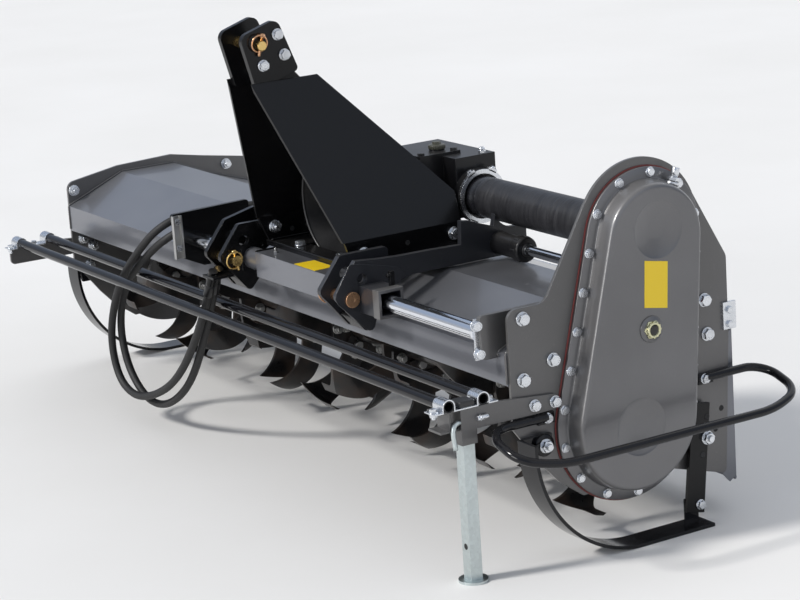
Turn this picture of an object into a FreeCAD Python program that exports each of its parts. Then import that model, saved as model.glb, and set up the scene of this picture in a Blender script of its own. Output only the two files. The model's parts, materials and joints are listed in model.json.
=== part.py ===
import FreeCAD, Part
import math
import os
import re
import Sketcher

from FreeCAD import Placement, Rotation, Vector

# Rotary tiller for a three-point linkage, standing on its skids and its parking leg.
# X runs along the rotor, with the chain case at the +X end. Y runs back from the tractor.
# Z is up, and zero is the ground. The rotor axis lies above Y = 0.

# Driving sizes in millimetres: name, value, meaning.
SIZES = [
    ("play", 0.05, "radial clearance of running fits"),
    ("seat", 0.3, "gap between a moving piece and its seat"),
    ("near_x", 1124, "outer face of the end plate that carries the chain case"),
    ("far_x", -1184, "outer face of the other end plate"),
    ("plate_thick", 8, "end plate thickness"),
    ("rotor_z", 295, "height of the rotor axis"),
    ("drive_y", 65, "drive tube axis behind the rotor axis"),
    ("drive_z", 702, "height of the drive tube axis"),
    ("hood_front", 311, "front face of the hood ahead of the rotor axis"),
    ("hood_lip_z", 425, "lower edge of the hood's front face"),
    ("hood_fold_z", 498, "fold at the top of the hood's front face"),
    ("hood_crown_y", 130, "front edge of the hood's flat top"),
    ("hood_top_z", 574, "height of the hood's flat top"),
    ("hood_back_y", 40, "rear edge of the hood's flat top"),
    ("hood_step_y", 150, "fold in the hood's rear slope"),
    ("hood_step_z", 526, "height of that fold"),
    ("hood_rear_y", 296, "rear edge of the hood"),
    ("hood_rear_z", 478, "height of the rear edge"),
    ("hood_thick", 5, "hood sheet thickness"),
    ("plate_front", 309, "front edge of an end plate"),
    ("plate_rear", 303, "rear edge of an end plate"),
    ("plate_low_radius", 199, "end plate radius about the rotor axis"),
    ("head_radius", 167, "radius of the near end plate's round head"),
    ("head_y", 57, "centre of the round head behind the rotor axis"),
    ("head_z", 715, "height of the round head's centre"),
    ("shoulder_z", 597, "top of the near end plate's front shoulder"),
    ("flange_wide", 8, "chain case flange thickness"),
    ("gasket", 2, "gasket thickness"),
    ("gasket_rim", 3, "gasket past the edge of the flange"),
    ("case_low_radius", 196, "flange radius about the rotor axis"),
    ("case_top_radius", 158, "flange radius about the drive tube axis"),
    ("case_low_bulge", 168, "bulge radius about the rotor axis, at the flange"),
    ("case_top_bulge", 132, "bulge radius about the drive tube axis, at the flange"),
    ("case_depth", 62, "height of the cover's face above the end plate"),
    ("case_draft", 20, "how much narrower the face is than the bulge's foot"),
    ("dome_rise", 9, "height of the two round domes on the face"),
    ("dome_inset", 30, "rim of a dome inside the edge of the face"),
    ("glass_y", 34, "oil level glass behind the rotor axis"),
    ("glass_z", 502, "height of the oil level glass"),
    ("glass_dia", 34, "oil level glass diameter"),
    ("glass_rise", 12, "oil level glass past the face"),
    ("tube_dia", 100, "drive tube diameter"),
    ("tube_wall", 8, "drive tube wall"),
    ("tube_start", 150, "far end of the drive tube"),
    ("collar_dia", 160, "drive tube flange diameter"),
    ("collar_thick", 14, "drive tube flange thickness"),
    ("bar_dia", 40, "slide bar diameter"),
    ("bar_y", 350, "slide bar axis ahead of the rotor axis"),
    ("bar_z", 548, "height of the slide bar axis"),
    ("bar_far", -310, "far end of the slide bar"),
    ("bar_near", 1066, "near end of the slide bar"),
    ("holder_far", -292, "far face of the far bar bracket"),
    ("holder_thick", 12, "bar bracket thickness"),
    ("strap_thick", 4, "bar bracket strap thickness"),
    ("strap_low", 503, "lower end of the far strap"),
    ("strap_high", 618, "upper end of the far strap"),
    ("strap_wide", 26, "width of the far strap"),
    ("strap_front", 66, "front edge of the far strap ahead of the bar axis"),
    ("stop_front", 36, "front edge of the near strap ahead of the bar axis"),
    ("stop_rear", 12, "rear edge of the near strap behind the bar axis"),
    ("stop_low", 64, "lower end of the near strap below the bar axis"),
    ("stop_high", 31, "upper end of the near strap above the bar axis"),
    ("guard_dia", 27, "guard tube diameter"),
    ("guard_wall", 3, "guard tube wall"),
    ("guard_near", 1132, "near end of the guard tubes"),
    ("guard_far", -1196, "far end of the guard tubes"),
    ("hoop_wide", 40, "width of a guard tube hoop strap"),
    ("hoop_thick", 3, "thickness of a guard tube hoop strap"),
    ("hoop_lip", 22, "flat end of a hoop strap"),
    ("arm_thick", 8, "guard arm thickness"),
    ("arm_top_z", 403, "top edge of a guard arm"),
    ("arm_low_z", 354, "bottom edge of a guard arm"),
    ("arm_reach", 409, "front end of the near guard arm"),
    ("tube_ahead", 69, "front guard tube axis ahead of the near arm's end"),
    ("tube_behind", 21, "rear guard tube axis behind the near arm's end"),
    ("arm_past", 27, "far guard arm past the front guard tube's axis"),
    ("arm_taper", 59, "level part of a guard arm's top, from the near arm's end back"),
    ("socket_side", 40, "parking leg socket, outside"),
    ("socket_low_z", 321, "lower end of the socket"),
    ("channel_wide", 48, "depth of the channel ahead of the socket"),
    ("channel_wall", 5, "wall of that channel"),
    ("channel_past", 20, "channel past the socket's far side"),
    ("channel_short", 10, "channel short of the socket's near side"),
    ("leg_side", 30, "parking leg, outside"),
    ("leg_wall", 3, "parking leg wall"),
    ("leg_rise", 5, "top of the parking leg above the socket"),
    ("foot_dia", 68, "parking leg foot plate"),
    ("foot_thick", 6, "foot plate thickness"),
    ("skid_radius", 290, "outer radius of a skid's curved front"),
    ("skid_y", 10, "centre of that curve ahead of the rotor axis"),
    ("skid_thick", 8, "skid sole thickness"),
    ("skid_width", 68, "skid sole width"),
    ("skid_flat", 190, "rear end of a skid's flat sole"),
    ("skid_head", 10, "upright part above a skid's curved front"),
    ("lug_thick", 12, "thickness of the lug at a skid's front end"),
    ("tab_thick", 4, "thickness of the tab near a skid's rear end"),
    ("upright_thick", 10, "skid upright thickness"),
    ("spacer_dia", 30, "spacer behind a skid upright"),
    ("spacer_y", 212, "spacer behind the rotor axis"),
    ("spacer_z", 225, "height of the spacer"),
    ("loop_dia", 20, "side guard loop diameter"),
    ("loop_reach", 166, "side guard past the end plate's outer face"),
    ("loop_drop", 58, "outer run of the side guard below its ends"),
    ("loop_rear", 392, "rear run of the side guard behind the rotor axis"),
    ("loop_front", 388, "front run of the side guard ahead of the rotor axis"),
    ("loop_pad_y", 225, "middle of each flattened end from the rotor axis"),
    ("loop_bend", 95, "length of each slanting corner of the side guard"),
    ("loop_end_z", 340, "height of the side guard's ends"),
    ("loop_pad_long", 44, "length of a flattened end of the side guard"),
    ("loop_pad_high", 26, "height of a flattened end of the side guard"),
    ("bearing_dia", 150, "rotor bearing housing diameter"),
    ("bearing_long", 46, "rotor bearing housing length"),
    ("bearing_cap", 8, "closed end of the bearing housing"),
    ("rotor_radius", 243, "tine tip radius"),
    ("rotor_tube", 88, "rotor tube diameter"),
    ("rotor_stub", 50, "rotor stub shaft diameter"),
    ("rotor_gap", 5, "rotor tube short of each end plate"),
    ("disc_dia", 200, "tine flange diameter"),
    ("disc_thick", 12, "tine flange thickness"),
    ("disc_count", 9, "number of tine flanges"),
    ("disc_margin", 125, "outer flanges from the end plates' inner faces"),
    ("disc_turn", 37, "turn from one flange to the next, in degrees"),
    ("tine_thick", 8, "tine thickness"),
    ("tine_wing", 96, "tine wing width across the rotor"),
    ("tine_bend", 58, "outer radius of the bend between a tine's shank and wing"),
    ("mast_x", 280, "middle of the headstock"),
    ("hitch_spread", 575, "lower hitch points, centre to centre"),
    ("clevis_gap", 59, "clear gap inside a lower hitch clevis"),
    ("clevis_thick", 15, "clevis plate thickness"),
    ("pin_dia", 28, "lower hitch pin diameter"),
    ("pin_head", 7, "thickness of a pin head"),
    ("pin_rim", 10, "pin head diameter past the pin's"),
    ("pin_tail", 14, "pin past the plate, for its linch pin"),
    ("pin_y", 402, "lower hitch pins ahead of the rotor axis"),
    ("pin_z", 550, "height of the lower hitch pins"),
    ("spare_y", 373, "upper hitch holes ahead of the rotor axis"),
    ("spare_z", 596, "height of the upper hitch holes"),
    ("tunnel_dia", 50, "hole for the slide bar in a clevis plate"),
    ("top_pin_dia", 25, "top link pin diameter"),
    ("top_y", 447, "top link pin ahead of the rotor axis"),
    ("top_z", 1130, "height of the top link pin"),
    ("ear_gap", 91, "clear gap between the mast ears"),
    ("ear_thick", 15, "mast ear thickness"),
    ("ear_low_z", 1020, "lowest corner of a mast ear"),
    ("mast_thick", 8, "mast plate thickness"),
    ("mast_inset", 35, "mast foot inside the lower hitch's inner plate"),
    ("mast_bend_z", 655, "height of the bend above a mast plate's upright foot"),
    ("mast_tuck", 20, "a mast plate's overlap with its ear"),
    ("base_low_z", 580, "underside of the headstock's base plate"),
    ("base_thick", 12, "base plate thickness"),
    ("base_rim", 4, "base plate past the mast feet"),
    ("base_front", 320, "front edge of the base plate"),
    ("base_rear", 14, "rear edge of the base plate, ahead of the rotor axis"),
    ("strip_front", 190, "front edge of the base plate's side strips"),
    ("strip_rear", 120, "rear edge of the side strips"),
    ("window_half", 102, "half width of the opening below the shaft guard"),
    ("window_front", 264, "front edge of that opening"),
    ("window_rear", 140, "rear edge of that opening"),
    ("beam_side", 64, "sleeve beam, outside"),
    ("beam_far", 112, "far end of the square sleeve beam"),
    ("sleeve_dia", 56, "round sleeve at the beam's far end"),
    ("sleeve_past", 93, "open square sleeve past the near clevis"),
    ("sleeve_wall", 6, "wall of that sleeve"),
    ("box_near", 400, "near face of the gearbox body"),
    ("box_far", 195, "far face of the gearbox"),
    ("box_front", 110, "front face of the gearbox ahead of the rotor axis"),
    ("box_rear", 125, "rear face of the gearbox behind the rotor axis"),
    ("box_low_z", 650, "underside of the gearbox"),
    ("box_top_z", 800, "top of the gearbox"),
    ("neck_end", 455, "near face of the gearbox's side neck"),
    ("neck_front", 8, "front face of the neck behind the rotor axis"),
    ("ring_dia", 134, "gearbox side flange diameter"),
    ("ring_wide", 20, "gearbox side flange thickness"),
    ("lid_rise", 8, "gearbox cover thickness"),
    ("lid_long", 110, "gearbox cover length along the rotor"),
    ("lid_half", 60, "half width of the gearbox cover"),
    ("cap_dia", 40, "breather diameter"),
    ("cap_rise", 14, "breather height"),
    ("cap_inset", 45, "breather inside the gearbox's near face"),
    ("cap_y", 20, "breather behind the rotor axis"),
    ("band_gap", 6, "tube clamp off the drive tube"),
    ("band_wide", 10, "tube clamp width"),
    ("pedestal_rear", 20, "rear face of the gearbox pedestal, ahead of the rotor axis"),
    ("cone_mouth", 284, "shaft guard mouth diameter"),
    ("cone_root", 190, "shaft guard root diameter"),
    ("cone_y", 250, "shaft guard mouth ahead of the rotor axis"),
    ("cone_wall", 4, "shaft guard wall"),
    ("spline_dia", 35, "input shaft diameter"),
    ("spline_y", 215, "input shaft end ahead of the rotor axis"),
    ("spline_deep", 60, "input shaft inside the gearbox"),
    ("barrel_dia", 56, "shift cylinder barrel diameter"),
    ("barrel_wall", 6, "shift cylinder barrel wall"),
    ("barrel_y", 20, "shift cylinder axis behind the rotor axis"),
    ("barrel_z", 613, "height of the shift cylinder axis"),
    ("barrel_near", 729, "near end of the barrel, where the rod comes out"),
    ("barrel_long", 505, "barrel length"),
    ("barrel_cap", 12, "closed far end of the barrel"),
    ("gland_long", 60, "rod guide length"),
    ("rod_dia", 25, "shift cylinder rod diameter"),
    ("rod_end", 470, "far end of the rod, inside the barrel"),
    ("port_past", 26, "hose port block past the far end of the barrel"),
    ("port_wide", 42, "length of the hose port block"),
    ("port_half", 29, "half width of the hose port block"),
    ("port_low_z", 600, "underside of the hose port block"),
    ("port_high_z", 626, "top of the hose port block"),
    ("hose_dia", 21, "hose diameter"),
    ("ferrule_dia", 24, "diameter of the fitting on a hose end"),
    ("ferrule_port", 30, "fitting length at the port block"),
    ("ferrule_rest", 50, "fitting length at the plate that holds the hose ends"),
    ("rest_drop", 45, "underside of the plate that holds the hose ends, below the pin"),
    ("rest_thick", 6, "thickness of that plate"),
    ("rest_ahead", 58, "front edge of that plate ahead of the pin"),
    ("rest_behind", 14, "rear edge of that plate behind the pin"),
    ("shield_y", 322, "rear face of the rear shield"),
    ("shield_thick", 5, "rear shield thickness"),
    ("shield_low_z", 66, "lower edge of the rear shield"),
    ("shield_top_z", 455, "top edge of the rear shield"),
    ("shield_gap", 5, "rear shield short of each end plate"),
    ("hinge_y", 313, "rear shield hinge behind the rotor axis"),
    ("hinge_z", 464, "height of the rear shield's hinge"),
    ("hinge_dia", 16, "hinge rod diameter"),
    ("knuckle_dia", 26, "hinge knuckle diameter"),
    ("knuckle_long", 60, "hinge knuckle length"),
    ("knuckle_count", 6, "number of hinge knuckles"),
    ("ear_plate", 6, "thickness of the hinge plates"),
    ("ear_ahead", 28, "hinge plate ahead of the hinge axis"),
    ("ear_behind", 9, "hinge plate behind the hinge axis"),
    ("ear_below", 24, "hinge plate below the hinge axis"),
    ("ear_above", 41, "hinge plate above the hinge axis"),
]

# Outlines as (ahead or behind the rotor axis, height, corner radius where rounded).
NEAR_PLATE = [("-plate_front", "shoulder_z", "25"), ("-plate_front", "325", "25"), ("-235", "226"),
              ("-190", "177"), ("-128", "132"), ("120", "140"), ("283", "92", "10"),
              ("plate_rear", "430"), ("plate_rear", "615", "30"), ("192", "812"),
              ("-88", "800"), ("-208", "shoulder_z", "35")]
FAR_PLATE = [("-plate_front", "566", "25"), ("-plate_front", "325", "25"), ("-235", "226"),
             ("-190", "177"), ("-128", "132"), ("120", "140"), ("283", "92", "10"),
             ("plate_rear", "430"), ("plate_rear", "552", "30"), ("137", "580"),
             ("37", "599"), ("-142", "593")]
NEAR_ARM = [("-arm_reach", "arm_top_z"), ("-arm_reach", "arm_low_z"), ("-250", "352"),
            ("-191", "354", "18"), ("-191", "388", "12"), ("-arm_reach + arm_taper", "arm_top_z")]
FAR_ARM = [("-arm_reach - tube_ahead - arm_past", "arm_top_z", "12"),
           ("-arm_reach - tube_ahead - arm_past", "arm_low_z", "12"), ("-250", "352"),
           ("-180", "354", "18"), ("-180", "388", "12"), ("-arm_reach + arm_taper", "arm_top_z")]
FAR_HOLDER = [("-415", "622", "8"), ("-400", "505", "8"), ("-330", "472"),
              ("-hood_front", "472"), ("-hood_front", "hood_fold_z"), ("-185", "550.9"),
              ("-185", "627", "8")]
NEAR_HOLDER = [("-bar_y - 4", "bar_z + 38", "8"), ("-bar_y", "bar_z - 63", "8"),
               ("-hood_front", "bar_z - 63"), ("-hood_front", "hood_fold_z"),
               ("-170", "557.2"), ("-170", "bar_z + 38")]
CLEVIS_NOSE = [("-384", "640", "12"), ("-447", "560", "16"), ("-425", "535", "12"),
               ("-365", "462", "12"), ("-330", "500", "12"), ("-318", "560")]
INNER_TAIL = [("-250", "600", "10"), ("-250", "640", "10")]
FAR_TAIL = [("-230", "base_low_z"), ("-100", "base_low_z", "10"), ("-100", "670", "15"),
            ("-300", "660")]
NEAR_TAIL = [("-230", "base_low_z"), ("75", "base_low_z", "10"), ("100", "610"), ("100", "690"),
             ("-110", "690", "20"), ("-300", "660")]
MAST_EAR = [("-497", "1155", "22"), ("-395", "1188", "22"), ("-345", "1060", "10"),
            ("-462", "ear_low_z", "8")]
MAST_SIDE = [(-486, 1062), (-343, 640), (-12, 640), (-8, 725), (-92, 857), (-315, 1062)]
MAST_SKIRT = [("-343", "mast_bend_z"), ("-336", "634"), ("-318", "base_low_z + base_thick"),
              ("-14", "base_low_z + base_thick"), ("-12", "mast_bend_z")]
# A tine seen along the rotor: its straight shank, the sweep of its back, its toe, and the
# sweep of its front.
TINE_SHANK = [(-31, 120), (-31, 45), (31, 45), (31, 120)]
TINE_BACK = [(31, 120), (60, 182), (122, 212)]
TINE_TOE = [(122, 212), (140, 260), (84, 260), (52, 246)]
TINE_FRONT = [(52, 246), (-10, 196), (-31, 120)]
SKID_LUG = [("8 - skid_y - skid_radius", "skid_radius + 6"),
            ("16 - skid_y - skid_radius", "skid_radius - 28"), ("-215", "skid_radius - 28"),
            ("-215", "skid_radius + 12"), ("8 - skid_y - skid_radius", "skid_radius + 12")]
SKID_TAB = [("skid_flat - 42", "skid_thick - 1"), ("skid_flat - 42", "60"),
            ("skid_flat - 2", "60"), ("skid_flat - 2", "skid_thick - 1")]
SKID_BAR = [(197, 20), (147, 30), (175, 290), (225, 281)]
SHIELD_WING = [(275, 430), (271, 195), (283, 85), (303, 63), (317, 72), (317, 430)]
# Corners of the two hoses' routes: first from the far face of the port block and the barrel's
# axis, then from the far lower hitch pin.
HOSE_OUTER_PORT = [(-20, 15, -1), (-138, 12, -7), (-293, -22, -11), (-460, -72, -14)]
HOSE_OUTER_LOOP = [(-372, 174, 47), (-370, 7, 38), (-492, -45, -88), (-597, -45, -195),
                   (-660, -45, -325), (-632, -45, -438), (-537, -45, -474), (-412, -45, -446),
                   (-282, -45, -384), (-172, -45, -288), (-60, -45, -145), (-20, -44, -71)]
HOSE_INNER_PORT = [(-20, -14, -1), (-128, -16, -9), (-283, -56, -14), (-438, -102, -17)]
HOSE_INNER_LOOP = [(-344, 159, 33), (-348, 9, 2), (-478, -17, -89), (-584, -19, -168),
                   (-647, -19, -285), (-624, -19, -400), (-542, -19, -470), (-447, -19, -486),
                   (-337, -19, -452), (-217, -19, -365), (-112, -19, -210), (-33, -21, -70)]

# Half spread of the mast's feet, and axes of the parking leg and the guard tubes.
MAST_FOOT = "hitch_spread / 2 - clevis_gap / 2 - clevis_thick - mast_inset"
LEG_X = "near_x + arm_thick - socket_side / 2"
LEG_Y = "-arm_reach - socket_side / 2"
GUARD_FRONT = "-arm_reach - tube_ahead"
GUARD_REAR = "-arm_reach + tube_behind"

AXIS_X = Rotation(Vector(0, 1, 0), 90)
AXIS_Y = Rotation(Vector(1, 0, 0), -90)
TO_PLUS_X = Vector(1, 0, 0)

doc = FreeCAD.newDocument("tiller")
sheet = doc.addObject("Spreadsheet::Sheet", "Sizes")
nodes = []


def fill_sheet():
    """Write each size, its name and its meaning into the sheet."""
    for row, (name, value, meaning) in enumerate(SIZES, start=1):
        sheet.set("A%d" % row, str(value))
        sheet.set("B%d" % row, meaning)
        sheet.setAlias("A%d" % row, name)
    doc.recompute()


def bound(text):
    """Give an expression with each size read from the sheet."""
    names = {name for name, _, _ in SIZES}
    swap = lambda found: "Sizes." + found.group(0) if found.group(0) in names else found.group(0)
    return re.sub(r"[a-z_]+", swap, str(text))


def size(text):
    """Work out an expression of sizes as a number."""
    return float(sheet.evalExpression(bound(text)))


def keep(thing, name):
    """Mark an object as a finished sub-part."""
    thing.Label = name
    nodes.append(thing)
    return thing


def body_sketch(body, plane, lift):
    """Start a sketch on one of the body's own origin planes, lifted off it."""
    sketch = body.newObject("Sketcher::SketchObject", body.Name + "_sketch")
    role = [item for item in body.Origin.OriginFeatures if item.Role == plane][0]
    sketch.AttachmentSupport = [(role, "")]
    sketch.MapMode = "FlatFace"
    sketch.setExpression("AttachmentOffset.Base.z", bound(lift))
    return sketch


def place(sketch, index, end, across, up):
    """Tie one point of a sketch to expressions of the sheet."""
    for kind, text in (("DistanceX", across), ("DistanceY", up)):
        tie = sketch.addConstraint(Sketcher.Constraint(kind, -1, 1, index, end, size(text)))
        sketch.setExpression("Constraints[%d]" % tie, bound(text))


def draw_polygon(sketch, corners):
    """Draw a closed outline of straight edges through the corners."""
    first = sketch.GeometryCount
    spots = [Vector(size(corner[0]), size(corner[1]), 0) for corner in corners]
    count = len(corners)
    for index in range(count):
        sketch.addGeometry(Part.LineSegment(spots[index], spots[(index + 1) % count]), False)
    for index in range(count):
        following = first + (index + 1) % count
        sketch.addConstraint(Sketcher.Constraint("Coincident", first + index, 2, following, 1))
    for index, corner in enumerate(corners):
        place(sketch, first + index, 1, corner[0], corner[1])


def draw_circle(sketch, across, up, diameter):
    """Draw one circle."""
    middle = Vector(size(across), size(up), 0)
    index = sketch.addGeometry(Part.Circle(middle, Vector(0, 0, 1), size(diameter) / 2), False)
    place(sketch, index, 3, across, up)
    tie = sketch.addConstraint(Sketcher.Constraint("Diameter", index, size(diameter)))
    sketch.setExpression("Constraints[%d]" % tie, bound(diameter))


def corner_edges(shape, corners):
    """Find, for each rounded corner of a plate, the edge along X that runs through it."""
    found = {}
    for number, edge in enumerate(shape.Edges, start=1):
        ends = [(vertex.Point.y, vertex.Point.z) for vertex in edge.Vertexes]
        if len(ends) != 2 or math.dist(ends[0], ends[1]) > 1e-6:
            continue
        for corner in corners:
            if len(corner) == 3 and math.dist(ends[0], (size(corner[0]), size(corner[1]))) < 1e-4:
                found.setdefault(corner[2], []).append("Edge%d" % number)
    return found


def plate(name, corners, lift, thick, holes=()):
    """Make a flat plate across X: an outline, round holes, a thickness and rounded corners."""
    body = doc.addObject("PartDesign::Body", name)
    sketch = body_sketch(body, "YZ_Plane", lift)
    draw_polygon(sketch, corners)
    for across, up, diameter in holes:
        draw_circle(sketch, across, up, diameter)
    base = body.newObject("PartDesign::Pad", name + "_pad")
    base.Profile = sketch
    base.setExpression("Length", bound(thick))
    doc.recompute()
    body.Tip = base
    radii = sorted({corner[2] for corner in corners if len(corner) == 3}, key=size, reverse=True)
    for radius in radii:
        edges = corner_edges(base.Shape, corners)[radius]
        rounding = body.newObject("PartDesign::Fillet", name + "_round")
        rounding.Base = (base, edges)
        rounding.setExpression("Radius", bound(radius))
        body.Tip = base = rounding
        doc.recompute()
        if rounding.Shape.isNull():
            raise RuntimeError("%s: no rounding of %s at %s" % (name, radius, edges))
    return body


def rod(name, axis, diameter, start, length, across, up):
    """Make a cylinder along X or Y from its start, through the point (across, up)."""
    bar = doc.addObject("Part::Cylinder", name)
    bar.setExpression("Radius", bound("(%s) / 2" % diameter))
    bar.setExpression("Height", bound(length))
    bar.Placement = Placement(Vector(), AXIS_X if axis == "X" else AXIS_Y)
    spots = (start, across, up) if axis == "X" else (across, start, up)
    for letter, text in zip("xyz", spots):
        bar.setExpression("Placement.Base." + letter, bound(text))
    return bar


def post(name, diameter, start, length, across, along):
    """Make an upright cylinder."""
    bar = doc.addObject("Part::Cylinder", name)
    bar.setExpression("Radius", bound("(%s) / 2" % diameter))
    bar.setExpression("Height", bound(length))
    for letter, text in zip("xyz", (across, along, start)):
        bar.setExpression("Placement.Base." + letter, bound(text))
    return bar


def block(name, low, high):
    """Make a box between two corners."""
    box = doc.addObject("Part::Box", name)
    for side, letter, start, end in zip(("Length", "Width", "Height"), "xyz", low, high):
        box.setExpression(side, bound("(%s) - (%s)" % (end, start)))
        box.setExpression("Placement.Base." + letter, bound(start))
    return box


def square_post(name, x, y, half, low, high):
    """Make a square upright bar about the point (x, y)."""
    corner = lambda sign: ("%s %s %s" % (x, sign, half), "%s %s %s" % (y, sign, half))
    return block(name, (*corner("-"), low), (*corner("+"), high))


def cut(name, base, *tools):
    """Take one object or more out of another."""
    for index, tool in enumerate(tools):
        last = index == len(tools) - 1
        result = doc.addObject("Part::Cut", name if last else "%s_cut%d" % (name, index))
        result.Base = base
        result.Tool = tool
        base = result
    return base


def fuse(name, things):
    """Join objects into one."""
    result = doc.addObject("Part::MultiFuse", name)
    result.Shapes = things
    result.Refine = True
    return result


def group(name, things):
    """Hold like pieces that don't touch each other as one sub-part."""
    result = doc.addObject("Part::Compound", name)
    result.Links = things
    return result


def pipe(name, axis, diameter, wall, start, length, across, up):
    """Make an open tube along X or Y."""
    outer = rod(name + "_outer", axis, diameter, start, length, across, up)
    inner = rod(name + "_bore", axis, "%s - 2 * %s" % (diameter, wall), start, length, across, up)
    return cut(name, outer, inner)


def feature(name, shape):
    """Hold a computed shape."""
    thing = doc.addObject("Part::Feature", name)
    thing.Shape = shape
    thing.Placement = shape.Placement
    return thing


def worked(points):
    """Work out an outline of (y, z) expressions."""
    return [(size(y), size(z)) for y, z in points]


def slab(points, start, thick):
    """Extrude an outline of (y, z) points along X."""
    ring = [Vector(start, y, z) for y, z in points]
    return Part.Face(Part.makePolygon(ring + ring[:1])).extrude(Vector(thick, 0, 0))


def round_bar(start, end, diameter, y, z):
    """Make a computed cylinder along X."""
    return Part.makeCylinder(diameter / 2, end - start, Vector(start, y, z), TO_PLUS_X)


def inset_points(points, thick):
    """Move an open run of (y, z) points to its right-hand side by a sheet's thickness."""
    normals = []
    for (y0, z0), (y1, z1) in zip(points, points[1:]):
        long = math.dist((y0, z0), (y1, z1))
        normals.append(((z1 - z0) / long, -(y1 - y0) / long))
    moved = []
    for index, (y, z) in enumerate(points):
        before = normals[max(index - 1, 0)]
        after = normals[min(index, len(normals) - 1)]
        share = thick / (1 + before[0] * after[0] + before[1] * after[1])
        moved.append((y + (before[0] + after[0]) * share, z + (before[1] + after[1]) * share))
    return moved


def oval_wire(x, low, high):
    """Draw two arcs and their two tangents, each arc as (y, z, radius)."""
    (y0, z0, r0), (y1, z1, r1) = low, high
    span = math.dist((y0, z0), (y1, z1))
    along = math.atan2(z1 - z0, y1 - y0)
    lean = math.acos((r0 - r1) / span)
    spot = lambda y, z, r, turn: Vector(x, y + r * math.cos(turn), z + r * math.sin(turn))
    a, b = spot(y0, z0, r0, along + lean), spot(y0, z0, r0, along - lean)
    c, d = spot(y1, z1, r1, along - lean), spot(y1, z1, r1, along + lean)
    bottom, top = spot(y0, z0, r0, along + math.pi), spot(y1, z1, r1, along)
    edges = [Part.Arc(a, bottom, b).toShape(), Part.LineSegment(b, c).toShape(),
             Part.Arc(c, top, d).toShape(), Part.LineSegment(d, a).toShape()]
    return Part.Wire(edges)


def case_ends(low_radius, top_radius, less=0):
    """Give the two round ends of a chain case outline, made smaller all round by less."""
    low = (0, size("rotor_z"), size(low_radius) - less)
    high = (size("drive_y"), size("drive_z"), size(top_radius) - less)
    return low, high


def route_wire(points, share=0.45):
    """Join points by straight runs and tangent arcs, and list the arcs' radii."""
    spots = [Vector(*point) for point in points]
    edges, radii = [], []
    last = spots[0]
    for before, corner, after in zip(spots, spots[1:], spots[2:]):
        back, ahead = before - corner, after - corner
        trim = share * min(back.Length, ahead.Length)
        turn = math.pi - back.getAngle(ahead)
        radius = trim / math.tan(turn / 2)
        begin = corner + back.normalize() * trim
        end = corner + ahead.normalize() * trim
        aim = (begin + end) * 0.5
        reach = radius / math.cos(turn / 2)
        centre = corner + (aim - corner).normalize() * reach
        middle = centre + (corner - centre).normalize() * radius
        edges.append(Part.LineSegment(last, begin).toShape())
        edges.append(Part.Arc(begin, middle, end).toShape())
        radii.append(round(radius))
        last = end
    edges.append(Part.LineSegment(last, spots[-1]).toShape())
    return Part.Wire(edges), radii


def round_tube(name, points, diameter):
    """Sweep a round section along a route of runs and arcs."""
    wire, radii = route_wire(points)
    first = Vector(*points[1]) - Vector(*points[0])
    ring = Part.Wire(Part.makeCircle(diameter / 2, Vector(*points[0]), first))
    solid = wire.makePipeShell([ring], True, False)
    expected = wire.Length * math.pi * diameter ** 2 / 4
    print(name, "length", round(wire.Length), "radii", radii,
          "volume ratio", round(solid.Volume / expected, 4))
    return solid


def make_hood():
    """The folded cover over the rotor."""
    names = [("-hood_front", "hood_lip_z"), ("-hood_front", "hood_fold_z"),
             ("-hood_crown_y", "hood_top_z"), ("hood_back_y", "hood_top_z"),
             ("hood_step_y", "hood_step_z"), ("hood_rear_y", "hood_rear_z")]
    outer = worked(names)
    ring = outer + inset_points(outer, size("hood_thick"))[::-1]
    length = size("near_x - far_x - 2 * plate_thick")
    keep(feature("hood_sheet", slab(ring, size("far_x + plate_thick"), length)), "hood")


def make_near_plate():
    """The tall end plate that carries the chain case, with its round head and foot."""
    blank = plate("near_blank", NEAR_PLATE, "near_x - plate_thick", "plate_thick")
    start = "near_x - plate_thick"
    head = rod("near_head", "X", "2 * head_radius", start, "plate_thick", "head_y", "head_z")
    foot = rod("near_foot", "X", "2 * plate_low_radius", start, "plate_thick", "0", "rotor_z")
    bore = rod("near_bore", "X", "rotor_stub + 2 * play", start, "plate_thick", "0", "rotor_z")
    keep(cut("near_plate", fuse("near_whole", [blank, head, foot]), bore), "end_plate_near")


def make_far_plate():
    """The low end plate with the rotor's outer bearing."""
    blank = plate("far_blank", FAR_PLATE, "far_x", "plate_thick")
    foot = rod("far_foot", "X", "2 * plate_low_radius", "far_x", "plate_thick", "0", "rotor_z")
    bore = rod("far_bore", "X", "rotor_stub + 2 * play", "far_x", "plate_thick", "0", "rotor_z")
    keep(cut("far_plate", fuse("far_whole", [blank, foot]), bore), "end_plate_far")


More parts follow.
